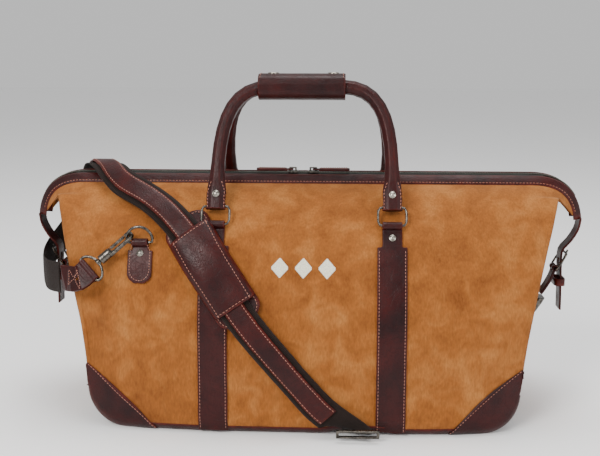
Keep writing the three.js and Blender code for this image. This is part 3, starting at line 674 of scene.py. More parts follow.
@dataclass(frozen=True)
class Finish:
    """A surface finish. Each kind fills in its own colour, roughness and bump."""

    name: str
    slot: str

    def material(self) -> bpy.types.Material:
        """The finish's material, made the first time it is asked for."""
        found = bpy.data.materials.get(self.name)
        if found:
            return found
        made = bpy.data.materials.new(self.name)
        made.use_nodes = True
        build = NodeBuilder(made.node_tree)
        shader = made.node_tree.nodes["Principled BSDF"]
        self.fill(build, shader)
        return made

    def fill(self, build: NodeBuilder, shader: bpy.types.Node) -> None:
        """Adds the finish's own nodes."""
        raise NotImplementedError

    def dress(self, obj: bpy.types.Object, body: str) -> bpy.types.Object:
        """Gives an object this finish and sets it on a body.

        Args:
            obj: the finished object.
            body: name of the CAD body it rides on.

        Returns:
            The object.
        """
        obj.data.materials.clear()
        obj.data.materials.append(self.material())
        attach(obj, body)
        return obj

    @staticmethod
    def local(build: NodeBuilder) -> bpy.types.NodeSocket:
        """Object coordinates."""
        return build.add("ShaderNodeTexCoord").outputs["Object"]

    @staticmethod
    def bump(build: NodeBuilder, shader: bpy.types.Node, height: bpy.types.NodeSocket,
             strength: float, distance: float) -> None:
        """Bumps the shader's normal by a height."""
        made = build.add("ShaderNodeBump", {"Strength": strength, "Distance": distance})
        build.link(height, made.inputs["Height"])
        build.link(made.outputs["Normal"], shader.inputs["Normal"])


@dataclass(frozen=True)
class Suede(Finish):
    """Napped suede, mottled light and dark."""

    dark: str
    middle: str
    light: str

    def fill(self, build: NodeBuilder, shader: bpy.types.Node) -> None:
        """Patches of nap, fine fibres and a soft sheen."""
        place = self.local(build)
        nap = build.add("ShaderNodeGroup")
        nap.node_tree = bpy.data.node_groups.get("Suede nap") or Groups.nap()
        build.link(place, nap.inputs["Vector"])
        colour = build.ramp(nap.outputs["Patch"], (
            (0.34, srgb(self.dark)), (0.5, srgb(self.middle)), (0.66, srgb(self.light))))
        scuffed = build.blend(build.maths("MULTIPLY", nap.outputs["Scuff"], 0.28), colour, srgb(self.light))
        speck = build.ramp(nap.outputs["Fibre"], ((0.3, (0.80, 0.78, 0.74)), (0.7, (1.12, 1.1, 1.06))))
        build.link(build.blend(1.0, scuffed, speck, "MULTIPLY"), shader.inputs["Base Color"])
        build.link(build.ranged(nap.outputs["Patch"], 0.3, 0.7, 0.98, 0.86), shader.inputs["Roughness"])
        shader.inputs["Specular IOR Level"].default_value = 0.12
        shader.inputs["Sheen Weight"].default_value = 0.14
        shader.inputs["Sheen Roughness"].default_value = 0.55
        shader.inputs["Sheen Tint"].default_value = (1.0, 0.72, 0.46, 1.0)
        height = build.maths("ADD", build.maths("MULTIPLY", nap.outputs["Patch"], 1.6),
                             build.maths("MULTIPLY", nap.outputs["Fibre"], 0.35))
        self.bump(build, shader, height, 0.55, 0.0016)


@dataclass(frozen=True)
class Leather(Finish):
    """Pebbled leather, painted darker along creases as shade, and lighter reddish on worn edges."""

    dark: str
    light: str
    worn: str

    def fill(self, build: NodeBuilder, shader: bpy.types.Node) -> None:
        """Grain, uneven dye, painted shade along the creases, reddish wear on the edges and a waxy shine."""
        place = self.local(build)
        grain = build.add("ShaderNodeGroup")
        grain.node_tree = bpy.data.node_groups.get("Pebble grain") or Groups.pebble()
        build.link(place, grain.inputs["Vector"])
        dye = build.noise(place, 26.0, 5.0, 0.5)
        base = build.ramp(dye, ((0.33, srgb(self.dark)), (0.68, srgb(self.light))))
        edge = build.add("ShaderNodeNewGeometry").outputs["Pointiness"]
        wear = build.maths("MULTIPLY", build.ranged(edge, 0.505, 0.56, 0.0, 0.75),
                           build.ranged(build.noise(place, 140.0, 4.0), 0.35, 0.6, 0.25, 1.0))
        coloured = build.blend(wear, base, srgb(self.worn))
        # painted shade: the colour is darkened to 0.72 along the crease lines, where shade would fall
        crease = build.ranged(grain.outputs["Crease"], 0.0, 1.0, 0.72, 1.0)
        made = build.add("ShaderNodeCombineColor")
        for socket in made.inputs[:3]:
            build.link(crease, socket)
        build.link(build.blend(1.0, coloured, made.outputs[0], "MULTIPLY"), shader.inputs["Base Color"])
        build.link(build.ranged(build.noise(place, 60.0, 4.0), 0.3, 0.7, 0.32, 0.5),
                   shader.inputs["Roughness"])
        shader.inputs["Specular IOR Level"].default_value = 0.17
        shader.inputs["Coat Weight"].default_value = 0.04
        shader.inputs["Coat Roughness"].default_value = 0.35
        self.bump(build, shader, grain.outputs["Height"], 0.5, 0.0007)


@dataclass(frozen=True)
class Webbing(Finish):
    """Ribbed woven webbing or zip tape; the mesh has a UV map named "weave"."""

    dark: str
    light: str

    def fill(self, build: NodeBuilder, shader: bpy.types.Node) -> None:
        """Woven ribs from the UV map, coloured with painted shade that darkens the grooves between them."""
        weave = build.add("ShaderNodeGroup")
        weave.node_tree = bpy.data.node_groups.get("Webbing weave") or Groups.weave()
        uv = build.add("ShaderNodeUVMap", uv_map="weave")
        build.link(uv.outputs["UV"], weave.inputs["Vector"])
        # base colour from the painted groove shade of the weave
        build.link(build.ramp(weave.outputs["Shade"], ((0.1, srgb(self.dark)), (0.9, srgb(self.light)))),
                   shader.inputs["Base Color"])
        build.link(build.ranged(weave.outputs["Height"], 0.0, 1.0, 0.95, 0.75), shader.inputs["Roughness"])
        shader.inputs["Sheen Weight"].default_value = 0.04
        shader.inputs["Specular IOR Level"].default_value = 0.12
        self.bump(build, shader, weave.outputs["Height"], 0.8, 0.0005)


@dataclass(frozen=True)
class Metal(Finish):
    """Antique plating: dark in the hollows, rubbed bright on the edges."""

    dark: str
    bright: str
    roughness: float

    def fill(self, build: NodeBuilder, shader: bpy.types.Node) -> None:
        """Tarnish, rubbed edges and fine scratches."""
        place = self.local(build)
        tarnish = build.noise(place, 240.0, 5.0, 0.4)
        base = build.ramp(tarnish, ((0.32, srgb(self.dark)), (0.72, srgb(self.bright))))
        edge = build.add("ShaderNodeNewGeometry").outputs["Pointiness"]
        rubbed = build.ranged(edge, 0.5, 0.58, 0.0, 0.8)
        build.link(build.blend(rubbed, base, srgb(self.bright)), shader.inputs["Base Color"])
        build.link(build.ranged(build.noise(place, 520.0, 4.0), 0.3, 0.7, self.roughness - 0.08,
                                self.roughness + 0.14), shader.inputs["Roughness"])
        shader.inputs["Metallic"].default_value = 1.0
        self.bump(build, shader, build.noise(place, 900.0, 3.0), 0.18, 0.0002)


@dataclass(frozen=True)
class Thread(Finish):
    """Twisted sewing thread."""

    colour: str

    def fill(self, build: NodeBuilder, shader: bpy.types.Node) -> None:
        """Ply twist along the thread and an uneven dye."""
        place = self.local(build)
        twist = build.noise(place, 1500.0, 2.0)
        low = tuple(c * 0.62 for c in srgb(self.colour))
        high = tuple(min(1.0, c * 1.25) for c in srgb(self.colour))
        build.link(build.ramp(twist, ((0.3, low), (0.7, high))), shader.inputs["Base Color"])
        build.link(build.ranged(twist, 0.3, 0.7, 0.85, 0.65), shader.inputs["Roughness"])
        shader.inputs["Sheen Weight"].default_value = 0.3
        self.bump(build, shader, twist, 0.4, 0.0003)


@dataclass(frozen=True)
class Cloth(Finish):
    """Plain lining cloth or board, with a fine cross weave."""

    dark: str
    light: str

    def fill(self, build: NodeBuilder, shader: bpy.types.Node) -> None:
        """Cross weave over faint slubs, with the colour painted darker in the weave's low parts as shade."""
        place = self.local(build)
        wave = build.add("ShaderNodeTexWave", {"Scale": 260.0, "Distortion": 2.0, "Detail": 2.0})
        build.link(place, wave.inputs["Vector"])
        # painted shade: the colour partly follows the weave's bump height, darker in its low parts; the slub
        # noise is random tone
        weave_shade_and_slubs = build.maths("ADD", build.maths("MULTIPLY", wave.outputs["Fac"], 0.4),
                            build.maths("MULTIPLY", build.noise(place, 45.0, 5.0), 0.6))
        build.link(build.ramp(weave_shade_and_slubs, ((0.25, srgb(self.dark)), (0.8, srgb(self.light)))),
                   shader.inputs["Base Color"])
        build.link(build.ranged(weave_shade_and_slubs, 0.2, 0.8, 0.95, 0.8), shader.inputs["Roughness"])
        self.bump(build, shader, wave.outputs["Fac"], 0.3, 0.0004)


SUEDE = Suede("Suede tan", "suede", "#71401a", "#885123", "#9d6634")
OXBLOOD = Leather("Leather oxblood", "leather", "#1f0708", "#360e0d", "#57190f")
WEB = Webbing("Webbing brown", "webbing", "#0b0807", "#2a1f1b")
ZIP_TAPE = Cloth("Zip tape", "zip", "#131513", "#2c2f2c")
TEETH = Metal("Zip teeth", "zip", "#33362f", "#6f7268", 0.36)
GUNMETAL = Metal("Gunmetal", "gunmetal", "#2b2927", "#6f6a63", 0.27)
ANTIQUE = Metal("Antique silver", "gunmetal", "#5a5650", "#aaa59a", 0.26)
LINING = Cloth("Lining cotton", "lining", "#4f4030", "#7d6a52")
BOARD = Cloth("Board", "board", "#6b5840", "#96815f")
TRIM_THREAD = Thread("Thread rose", "leather", "#99614e")
BINDING_THREAD = Thread("Thread orange", "leather", "#8e4f33")
MOTIF_THREAD = Thread("Thread cream", "suede", "#efe6d2")


# ---------------------------------------------------------------- things repeated along a path


class Along(Enum):
    """What a path tool lays along its path."""

    STITCH = "Stitches"
    TOOTH = "Zip teeth"
    CORD = "Cords"


@dataclass
class PathTool:
    """A Geometry Nodes group that lays small pieces along polylines."""

    kind: Along
    tree: bpy.types.NodeTree = field(init=False)

    def __post_init__(self) -> None:
        """Builds the group with its named inputs."""
        self.tree = bpy.data.node_groups.new(self.kind.value, "GeometryNodeTree")
        face = self.tree.interface
        face.new_socket("Geometry", in_out="INPUT", socket_type="NodeSocketGeometry")
        for name in ("Spacing", "Along", "Across", "Height"):
            face.new_socket(name, in_out="INPUT", socket_type="NodeSocketFloat")
        face.new_socket("Material", in_out="INPUT", socket_type="NodeSocketMaterial")
        face.new_socket("Geometry", in_out="OUTPUT", socket_type="NodeSocketGeometry")
        build = NodeBuilder(self.tree)
        given = build.add("NodeGroupInput")
        curve = build.add("GeometryNodeMeshToCurve")
        build.link(given.outputs["Geometry"], curve.inputs[0])
        last = self.cord(build, given, curve) if self.kind is Along.CORD else self.row(build, given, curve)
        paint = build.add("GeometryNodeSetMaterial")
        build.link(last, paint.inputs["Geometry"])
        build.link(given.outputs["Material"], paint.inputs["Material"])
        build.link(paint.outputs[0], build.add("NodeGroupOutput").inputs[0])

    def row(self, build: NodeBuilder, given: bpy.types.Node, curve: bpy.types.Node) -> bpy.types.NodeSocket:
        """Instances a small solid at even steps along the curve."""
        steps = build.add("GeometryNodeResampleCurve")
        steps.mode = "LENGTH"
        build.link(curve.outputs[0], steps.inputs["Curve"])
        build.link(given.outputs["Spacing"], steps.inputs["Length"])
        if self.kind is Along.STITCH:
            solid = build.add("GeometryNodeMeshUVSphere", {"Segments": 6, "Rings": 5, "Radius": 0.5})
            turn = build.add("FunctionNodeAlignRotationToVector", axis="X")
        else:
            solid = build.add("GeometryNodeMeshCube", {"Size": (1.0, 1.0, 1.0)})
            turn = build.add("FunctionNodeAlignRotationToVector", axis="X", pivot_axis="Y")
        tangent = build.add("GeometryNodeInputTangent")
        build.link(tangent.outputs[0], turn.inputs["Vector"])
        size = build.add("ShaderNodeCombineXYZ")
        for name, socket in zip(("Along", "Across", "Height"), size.inputs):
            build.link(given.outputs[name], socket)
        put = build.add("GeometryNodeInstanceOnPoints")
        build.link(steps.outputs[0], put.inputs["Points"])
        build.link(solid.outputs["Mesh"], put.inputs["Instance"])
        build.link(turn.outputs[0], put.inputs["Rotation"])
        build.link(size.outputs[0], put.inputs["Scale"])
        real = build.add("GeometryNodeRealizeInstances")
        build.link(put.outputs[0], real.inputs[0])
        return real.outputs[0]

    @staticmethod
    def cord(build: NodeBuilder, given: bpy.types.Node, curve: bpy.types.Node) -> bpy.types.NodeSocket:
        """Sweeps a small round profile along the curve."""
        ring = build.add("GeometryNodeCurvePrimitiveCircle", {"Resolution": 6})
        build.link(given.outputs["Across"], ring.inputs["Radius"])
        sweep = build.add("GeometryNodeCurveToMesh", {"Fill Caps": True})
        build.link(curve.outputs[0], sweep.inputs["Curve"])
        build.link(ring.outputs[0], sweep.inputs["Profile Curve"])
        return sweep.outputs[0]

    def run(self, name: str, lines: Sequence[Sequence[Vector]], finish: Finish, body: str,
            spacing: float, size: tuple[float, float, float]) -> bpy.types.Object:
        """Lays the pieces along lines and leaves one plain mesh.

        Args:
            name: the made object's name.
            lines: polylines in millimetres.
            finish: the finish of the pieces.
            body: CAD body they ride on.
            spacing: step along the line, in millimetres.
            size: length, width and height of a piece, in millimetres.

        Returns:
            The finished object.
        """
        points: list[Vector] = []
        edges: list[tuple[int, int]] = []
        for line in lines:
            first = len(points)
            points.extend(p * MM for p in line)
            edges.extend((first + i, first + i + 1) for i in range(len(line) - 1))
        mesh = bpy.data.meshes.new(name)
        mesh.from_pydata(points, edges, [])
        made = MeshMaker.link(name, mesh)
        modifier = made.modifiers.new("Laid along", "NODES")
        modifier.node_group = self.tree
        values = {"Spacing": spacing * MM, "Along": size[0] * MM, "Across": size[1] * MM,
                  "Height": size[2] * MM, "Material": finish.material()}
        for item in self.tree.interface.items_tree:
            if item.in_out == "INPUT" and item.name in values:
                modifier[item.identifier] = values[item.name]
        MeshMaker.baked(made)
        flat = self.kind is Along.TOOTH
        made.data.polygons.foreach_set("use_smooth", [not flat] * len(made.data.polygons))
        LOG.info("%s: %d faces along %d lines", name, len(made.data.polygons), len(lines))
        return finish.dress(made, body)


STITCHES = PathTool(Along.STITCH)
TEETH_ROW = PathTool(Along.TOOTH)
CORDS = PathTool(Along.CORD)


@dataclass
class StitchRun:
    """Stitches sewn along lines on finished pieces."""

    name: str
    body: str
    finish: Finish
    lines: list[list[Vector]]
    surface: Surface | None = None
    spacing: float = 3.8
    thread: float = 0.85
    lift: float = 0.15

    def build(self) -> bpy.types.Object:
        """Snaps the lines to the surface and lays the stitches."""
        lines = [self.dense(line) for line in self.lines]
        if self.surface:
            lines = [[self.surface.snapped(p, self.lift) for p in line] for line in lines]
        size = (self.spacing * 0.72, self.thread, self.thread)
        return STITCHES.run(self.name, lines, self.finish, self.body, self.spacing, size)

    @staticmethod
    def dense(line: Sequence[Vector], step: float = 1.6) -> list[Vector]:
        """Line with extra points, so that it follows a curved surface."""
        made: list[Vector] = []
        for a, b in zip(line, line[1:]):
            count = max(1, int((b - a).length / step))
            made.extend(a.lerp(b, i / count) for i in range(count))
        made.append(line[-1].copy())
        return made


# ---------------------------------------------------------------- pieces that start from CAD solids


@dataclass
class RoundedPiece:
    """A CAD solid with its edges rounded over, which stands for its node."""

    node: str
    finish: Finish
    voxel: float = 1.0
    rounds: int = 4
    sags: bool = False

    def build(self) -> bpy.types.Object:
        """Rounds a copy of the node's mesh and, when sags is set, lets it sag with the body."""
        source = frame["nodes"][self.node]
        made = MeshMaker.link(f"{self.node}.look", source.data.copy())
        made.data.materials.clear()
        remesh = made.modifiers.new("Even cells", "REMESH")
        remesh.mode = "VOXEL"
        remesh.voxel_size = self.voxel * MM
        remesh.use_smooth_shade = True
        ease = made.modifiers.new("Rounded edges", "SMOOTH")
        ease.factor = 0.5
        ease.iterations = self.rounds
        MeshMaker.baked(made)
        for vertex in made.data.vertices:
            if self.sags:
                vertex.co = Sag.moved(vertex.co / MM) * MM
        made.data.polygons.foreach_set("use_smooth", [True] * len(made.data.polygons))
        made.data.update()
        return made

    def dress(self, made: bpy.types.Object) -> bpy.types.Object:
        """Finishes the piece and sets it in the node's place."""
        self.finish.dress(made, frame["nodes"][self.node]["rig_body"])
        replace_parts(made, self.node)
        LOG.info("%s: %d faces", made.name, len(made.data.polygons))
        return made

    def made(self) -> bpy.types.Object:
        """Builds and dresses the piece."""
        return self.dress(self.build())


# ---------------------------------------------------------------- the bag's shell


@dataclass
class Shell:
    """Suede panels, gussets, leather base and hem band."""

    cells: tuple[int, int] = (150, 96)

    def panel_point(self, u: float, v: float, side: Side) -> Vector:
        """Outer face of a panel, whose columns fan out along the zip line at the top."""
        share = -side.value * (2 * u - 1)
        turn = 0.84
        bottom = BodyShape.bottom(share * BASE_HALF, side)
        height = mix(bottom + 0.2, SHOULDER, min(1.0, v / turn) ** 0.9)
        low = BodyShape.point(share * BodyShape.half_width(height), height, side)
        if v <= turn:
            return Sag.moved(low)
        top = BodyShape.zip_point(share, side.value * (SEAM_DEPTH - 2.6), -9.8)
        rise = (v - turn) / (1 - turn)
        arch = math.sin(math.pi * rise)
        peak = 9.0 * math.exp(-((abs(share) - 0.9) / 0.08) ** 2) if side is Side.BACK else 0.0
        full = Vector((0.0, side.value * 3.0 * arch * (1 - share**8), peak * arch))
        return Sag.moved(low.lerp(top, rise) + full)

    def panel_outward(self, u: float, v: float, side: Side) -> Vector:
        """Outward direction of a panel's face."""
        share = -side.value * (2 * u - 1)
        height = mix(BodyShape.bottom(share * BASE_HALF, side) + 0.2, SHOULDER, min(1.0, v / 0.84) ** 0.9)
        low = BodyShape.normal(share * BodyShape.half_width(height), height, side)
        if v <= 0.84:
            return low
        top = Vector((0.0, side.value, 0.9 * (1 - share**6))).normalized()
        return low.lerp(top, (v - 0.84) / 0.16).normalized()

    def panel(self, side: Side) -> bpy.types.Object:
        """One big suede panel."""
        made = MeshMaker.sheet(f"panel_{side.label}.look", lambda u, v: self.panel_point(u, v, side),
                               *self.cells, SUEDE_THICK, (2 * BASE_HALF, PANEL_TOP),
                               lambda u, v: self.panel_outward(u, v, side))
        SUEDE.dress(made, "bag")
        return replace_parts(made, f"{side.label}_panel")

    def gusset(self, label: str, end: int) -> bpy.types.Object:
        """End gusset, folded inwards under the wing."""
        def face(u: float, v: float) -> Vector:
            z = mix(CORNER_RADIUS - 11, SHOULDER - 8, v)
            margin = 2.6 + 3.2 * max(0.0, 1 - 4 * v)
            inner = BodyShape.half_depth(end * BodyShape.half_width(z) * 0.97, z) - margin
            y = -end * mix(-inner, inner, u)
            fold = mix(2.5, 52, v**1.4) * (1 - abs(2 * u - 1) ** 1.6)
            crease = 2.4 * noise.noise(Vector((u * 5.0, v * 3.2, 9.0 + end))) * math.sin(math.pi * u)
            slack = 1.6 * math.sin(v * 21.0 + 3.0 * u) * math.sin(math.pi * u) * smooth(v * 1.4)
            return Vector((end * (BodyShape.half_width(z) - 4.4 - fold - abs(crease) - slack * 0.6), -y, z))
        made = MeshMaker.sheet(f"gusset_{label}.look", face, 60, 60, 1.8, (180, 215))
        SUEDE.dress(made, "bag")
        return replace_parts(made, f"end_gusset_{label}")

    def base(self) -> bpy.types.Object:
        """Leather base, curled up at both ends."""
        flat = BASE_HALF - CORNER_RADIUS
        share = 0.84

        def face(u: float, v: float) -> Vector:
            along = 2 * u - 1
            turn = max(0.0, (abs(along) - share) / (1 - share)) * 1.35
            reach = min(1.0, abs(along) / share) * flat + CORNER_RADIUS * math.sin(turn)
            x = math.copysign(reach, along)
            y = -mix(-1, 1, v) * (BodyShape.half_depth(x, 0) - HEM_RADIUS - GAP - 1)
            z = CORNER_RADIUS * (1 - math.cos(turn)) + BodyShape.strap_rise(x, y)
            return Vector((x, y, z))
        made = MeshMaker.sheet("base.look", face, 150, 40, LEATHER_THICK, (480, 213))
        OXBLOOD.dress(made, "bag")
        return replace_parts(made, "base_panel")

    def hem(self, side: Side) -> bpy.types.Object:
        """Narrow leather band where the base turns up over a panel's lower edge."""
        def face(u: float, v: float) -> Vector:
            x = -side.value * mix(-232.0, 232.0, u)
            low = BodyShape.bottom(x, side)
            return Sag.moved(BodyShape.above(x, low + mix(0.4, 9.5, v), side, 0.75))
        made = MeshMaker.sheet(f"hem_band_{side.label}.look", face, 220, 6, 0.7, (464, 10))
        return OXBLOOD.dress(made, "bag")

    def build(self) -> dict[Side, bpy.types.Object]:
        """All of the shell; returns its two panels by side."""
        panels = {side: self.panel(side) for side in Side}
        for label, end in (("left", -1), ("right", 1)):
            self.gusset(label, end)
        self.base()
        for side in Side:
            self.hem(side)
        LOG.info("shell: panels of %d faces", len(panels[Side.FRONT].data.polygons))
        return panels


@dataclass
class Trim:
    """Leather sewn flat on the shell: panel straps, corner patches and their stitching."""

    def strap(self, side: Side, label: str, end: int) -> bpy.types.Object:
        """One panel strap, with stitching up both edges."""
        made = RoundedPiece(f"panel_strap_{side.label}_{label}", OXBLOOD, 0.9, 3, sags=True).made()
        lines = []
        for edge in (-1, 1):
            line = []
            for z in range(9, 207, 6):
                x = end * HANDLE_X + edge * (STRAP_HALF - 2.3)
                line.append(Sag.moved(BodyShape.above(x, float(z), side, 3.0)))
            lines.append(line)
        StitchRun(f"panel_strap_stitches_{side.label}_{label}", "bag", TRIM_THREAD, lines,
                  Surface(made)).build()
        return made

    @staticmethod
    def border(share: float) -> tuple[float, float]:
        """Place on the panel's own edge, from the base round the corner and up the side."""
        straight, arc, climb = 43.0, CORNER_RADIUS * math.pi / 2, 36.0
        way = share * (straight + arc + climb)
        if way < straight:
            return BASE_HALF - CORNER_RADIUS - straight + way, 0.25
        if way < straight + arc:
            turn = (way - straight) / CORNER_RADIUS
            z = CORNER_RADIUS * (1 - math.cos(turn)) + 0.25
            x = BASE_HALF - CORNER_RADIUS * (1 - math.sin(turn))
            return x * BodyShape.half_width(z) / BASE_HALF, z
        z = CORNER_RADIUS + 0.25 + way - straight - arc
        return BodyShape.half_width(z), z

    def patch(self, side: Side, label: str, end: int) -> None:
        """One corner patch, with stitching along its upper edge."""
        def place(t: float, v: float) -> tuple[float, float]:
            share = mix(0.03, 0.975, t)
            (x, z), (low_x, low_z), (top_x, top_z) = (self.border(k) for k in (share, 0.0, 1.0))
            bulge = 5 * math.sin(math.pi * share)
            inner_x = mix(low_x, top_x, share) - bulge * 0.6
            inner_z = mix(low_z, top_z, share) + bulge * 0.8
            return mix(x, inner_x, v), mix(z, inner_z, v)

        def face(u: float, v: float) -> Vector:
            x, z = place(u if end * side.value < 0 else 1 - u, v)
            return Sag.moved(BodyShape.above(end * x, z, side, GAP + 1.6))
        made = MeshMaker.sheet(f"corner_patch_{side.label}_{label}.look", face, 70, 16, 1.7, (110, 40))
        OXBLOOD.dress(made, "bag")
        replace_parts(made, f"corner_patch_{side.label}_{label}")
        line = []
        for i in range(21):
            x, z = place(mix(0.03, 0.97, i / 20), 0.92)
            line.append(Sag.moved(BodyShape.above(end * x, z, side, GAP + 1.6)))
        StitchRun(f"corner_stitches_{side.label}_{label}", "bag", TRIM_THREAD, [line],
                  Surface(made)).build()

    def build(self) -> dict[tuple[Side, int], bpy.types.Object]:
        """All of the trim; returns the panel straps."""
        straps = {}
        for side in Side:
            for label, end in (("left", -1), ("right", 1)):
                self.patch(side, label, end)
                straps[(side, end)] = self.strap(side, label, end)
        return straps


@dataclass
class ZipTop:
    """The zip: tape, teeth, bindings, sliders and pulls."""

    reach: float = 0.955

    def binding(self, side: Side) -> None:
        """Leather binding along one side of the zip, with a row of stitches."""
        def face(u: float, v: float) -> Vector:
            share = mix(-1.006, 1.006, u)
            return BodyShape.zip_point(share, side.value * mix(SEAM_DEPTH, BINDING_INNER, v),
                                       mix(-10.5, 0.0, v) + 1.1 * math.sin(math.pi * v))
        made = MeshMaker.sheet(f"binding_{side.label}.look", face, 260, 10, LEATHER_THICK, (714, 14.5))
        OXBLOOD.dress(made, "bag")
        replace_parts(made, f"top_binding_{side.label}")
        lines = []
        for depth, rise in ((SEAM_DEPTH - 1.4, -8.8),):
            lines.append([BodyShape.zip_point(mix(-0.985, 0.985, i / 160), side.value * depth, rise + 1.0)
                          for i in range(161)])
        StitchRun(f"binding_stitches_{side.label}", "bag", BINDING_THREAD, lines, Surface(made)).build()

    def teeth(self) -> None:
        """Two meshed rows of teeth along the tape."""
        rows = []
        for offset, shift in ((-0.85, 0.0), (0.85, 0.0012)):
            rows.append([BodyShape.zip_point(mix(-self.reach, self.reach, i / 240) + shift, offset, 0.55)
                         for i in range(241)])
        TEETH_ROW.run("zip_teeth", rows, TEETH, "bag", 1.9, (1.05, 2.7, 1.2))

    def fittings(self) -> None:
        """Sliders and their leather pulls, each edged with stitches."""
        for label, end in (("left", -1), ("right", 1)):
            RoundedPiece(f"zip_slider_{label}", GUNMETAL, 0.4, 3).made()
            pull = RoundedPiece(f"zip_pull_{label}", OXBLOOD, 0.5, 3).made()
            middle = -16.0 if end < 0 else 8.0
            lines = [[Vector((middle + end * reach, edge * half, 283.0))
                      for reach, half in ((10, 2.9), (39, 4.2))] for edge in (-1, 1)]
            StitchRun(f"zip_pull_stitches_{label}", f"zip_pull_{label}", TRIM_THREAD, lines,
                      Surface(pull), spacing=2.6, thread=0.5).build()

    def build(self) -> None:
        """All of the zip."""
        RoundedPiece("zip_tape", ZIP_TAPE, 0.7, 2).made()
        for side in Side:
            self.binding(side)
        self.teeth()
        self.fittings()


@dataclass
class Rivets:
    """Domed rivet caps and press-snap caps, gathered into one object a body."""

    made: dict[str, list[bpy.types.Object]] = field(default_factory=dict)

    RIVET = ((0.0, -0.6), (3.9, -0.6), (4.0, 0.5), (3.6, 1.05),
             (3.0, 1.0), (2.6, 1.3), (1.4, 1.9), (0.0, 2.1))
    SNAP = ((0.0, -0.6), (6.2, -0.6), (6.3, 0.5), (5.8, 1.2),
            (4.8, 1.25), (4.3, 0.75), (1.2, 0.8), (0.0, 0.9))

    def put(self, body: str, surface: Surface, start: Vector, direction: Vector,
            profile: Sequence[tuple[float, float]]) -> None:
        """Sets a cap where a ray from start meets the surface."""
        at, normal = surface.struck(start, direction)
        if normal.dot(direction) > 0:
            normal = -normal
        self.made.setdefault(body, []).append(
            MeshMaker.lathe("cap", profile, 24, facing(at, normal)))

    def build(self) -> None:
        """Joins the caps of each body and finishes them."""
        for body, caps in self.made.items():
            joined = MeshMaker.joined(f"caps_{body}", caps)
            joined.data.polygons.foreach_set("use_smooth", [True] * len(joined.data.polygons))
            ANTIQUE.dress(joined, body)
            LOG.info("caps on %s: %d", body, len(caps))


@dataclass
class Carry:
    """Handles with their rings, and the wrap that snaps round both grips."""

    rivets: Rivets

    def leaning(self, side: Side, x: float, out: float, height: float) -> Vector:
        """Point in a handle's leaning plane, out from it, up from the ring's lower bar."""
        sign = side.value
        y = sign * (RING_BAR_Y + out * math.cos(LEAN) - height * math.sin(LEAN))
        return Vector((x, y, RING_BAR_Z + out * math.sin(LEAN) + height * math.cos(LEAN)))

    def handle(self, side: Side) -> None:
        """One handle with its tabs, rings and rivets."""
        label = side.label
        leather = RoundedPiece(f"handle_{label}", OXBLOOD, 0.95, 4).made()
        surface = Surface(leather)
        lines = []
        for end in (-1, 1):
            for edge in (-1, 1):
                x = end * HANDLE_X + edge * (TAB_HALF - 2.2)
                lines.append([self.leaning(side, x, 5.4, h) for h in (20.0, 30.0, 38.0)]
                             + [self.leaning(side, end * HANDLE_X + edge * 7.2, 6.4, 47.0)])
            start = self.leaning(side, end * HANDLE_X, 40.0, 34.0)
            direction = self.leaning(side, end * HANDLE_X, 0.0, 34.0) - start
            self.rivets.put(f"{label}_handle", surface, start, direction, Rivets.RIVET)
        StitchRun(f"handle_tab_stitches_{label}", f"{label}_handle", TRIM_THREAD, lines, surface).build()
        for hand in ("left", "right"):
            RoundedPiece(f"ring_{label}_{hand}", GUNMETAL, 0.38, 3).made()

    def wrap(self) -> None:
        """The wrap's two leather halves, stitched across both ends, with two snaps."""
        under = RoundedPiece("wrap_back", OXBLOOD, 0.9, 3).made()
        flap = RoundedPiece("wrap_flap", OXBLOOD, 0.9, 3).made()
        for name, piece, body in (("wrap_back", under, "back_handle"), ("wrap_flap", flap, "wrap_flap")):
            surface = Surface(piece)
            lines = []
            for x in (WRAP_ENDS[0] + 2.4, WRAP_ENDS[1] - 2.4):
                lines.append([Vector((x, y, 398.0 - 0.02 * y * y)) for y in range(-19, 20, 2)])
            StitchRun(f"{name}_stitches", body, TRIM_THREAD, lines, surface).build()
        for x in SNAP_XS:
            self.rivets.put("wrap_flap", Surface(flap), Vector((x, 0.0, 430.0)),
                            Vector((0, 0, -1)), Rivets.SNAP)

    def build(self) -> None:
        """Both handles and the wrap."""
        for side in Side:
            self.handle(side)
        self.wrap()


# ---------------------------------------------------------------- the shoulder strap


class Spline:
    """Centripetal curve through points."""

    def __init__(self, points: Sequence[Vector]) -> None:
        """Keeps the points the curve passes through."""
        self.points = [Vector(p) for p in points]

    def at(self, share: float) -> Vector:
        """Point at a share of the curve, each span being an equal share."""
        last = len(self.points) - 1
        place = clamp(share) * last
        span = min(int(place), last - 1)
        weight = place - span
        b, c = self.points[span], self.points[span + 1]
        a = self.points[span - 1] if span > 0 else b * 2 - c
        d = self.points[span + 2] if span + 2 <= last else c * 2 - b
        gaps = [max(1e-4, (q - p).length ** 0.5) for p, q in ((a, b), (b, c), (c, d))]
        start = ((b - a) / gaps[0] - (c - a) / (gaps[0] + gaps[1]) + (c - b) / gaps[1]) * gaps[1]
        finish = ((c - b) / gaps[1] - (d - b) / (gaps[1] + gaps[2]) + (d - c) / gaps[2]) * gaps[1]
        square = -3 * b + 3 * c - 2 * start - finish
        cube = 2 * b - 2 * c + start + finish
        return b + start * weight + square * weight**2 + cube * weight**3

    def tangent(self, share: float) -> Vector:
        """Direction of the curve."""
        return (self.at(share + 1e-4) - self.at(share - 1e-4)).normalized()


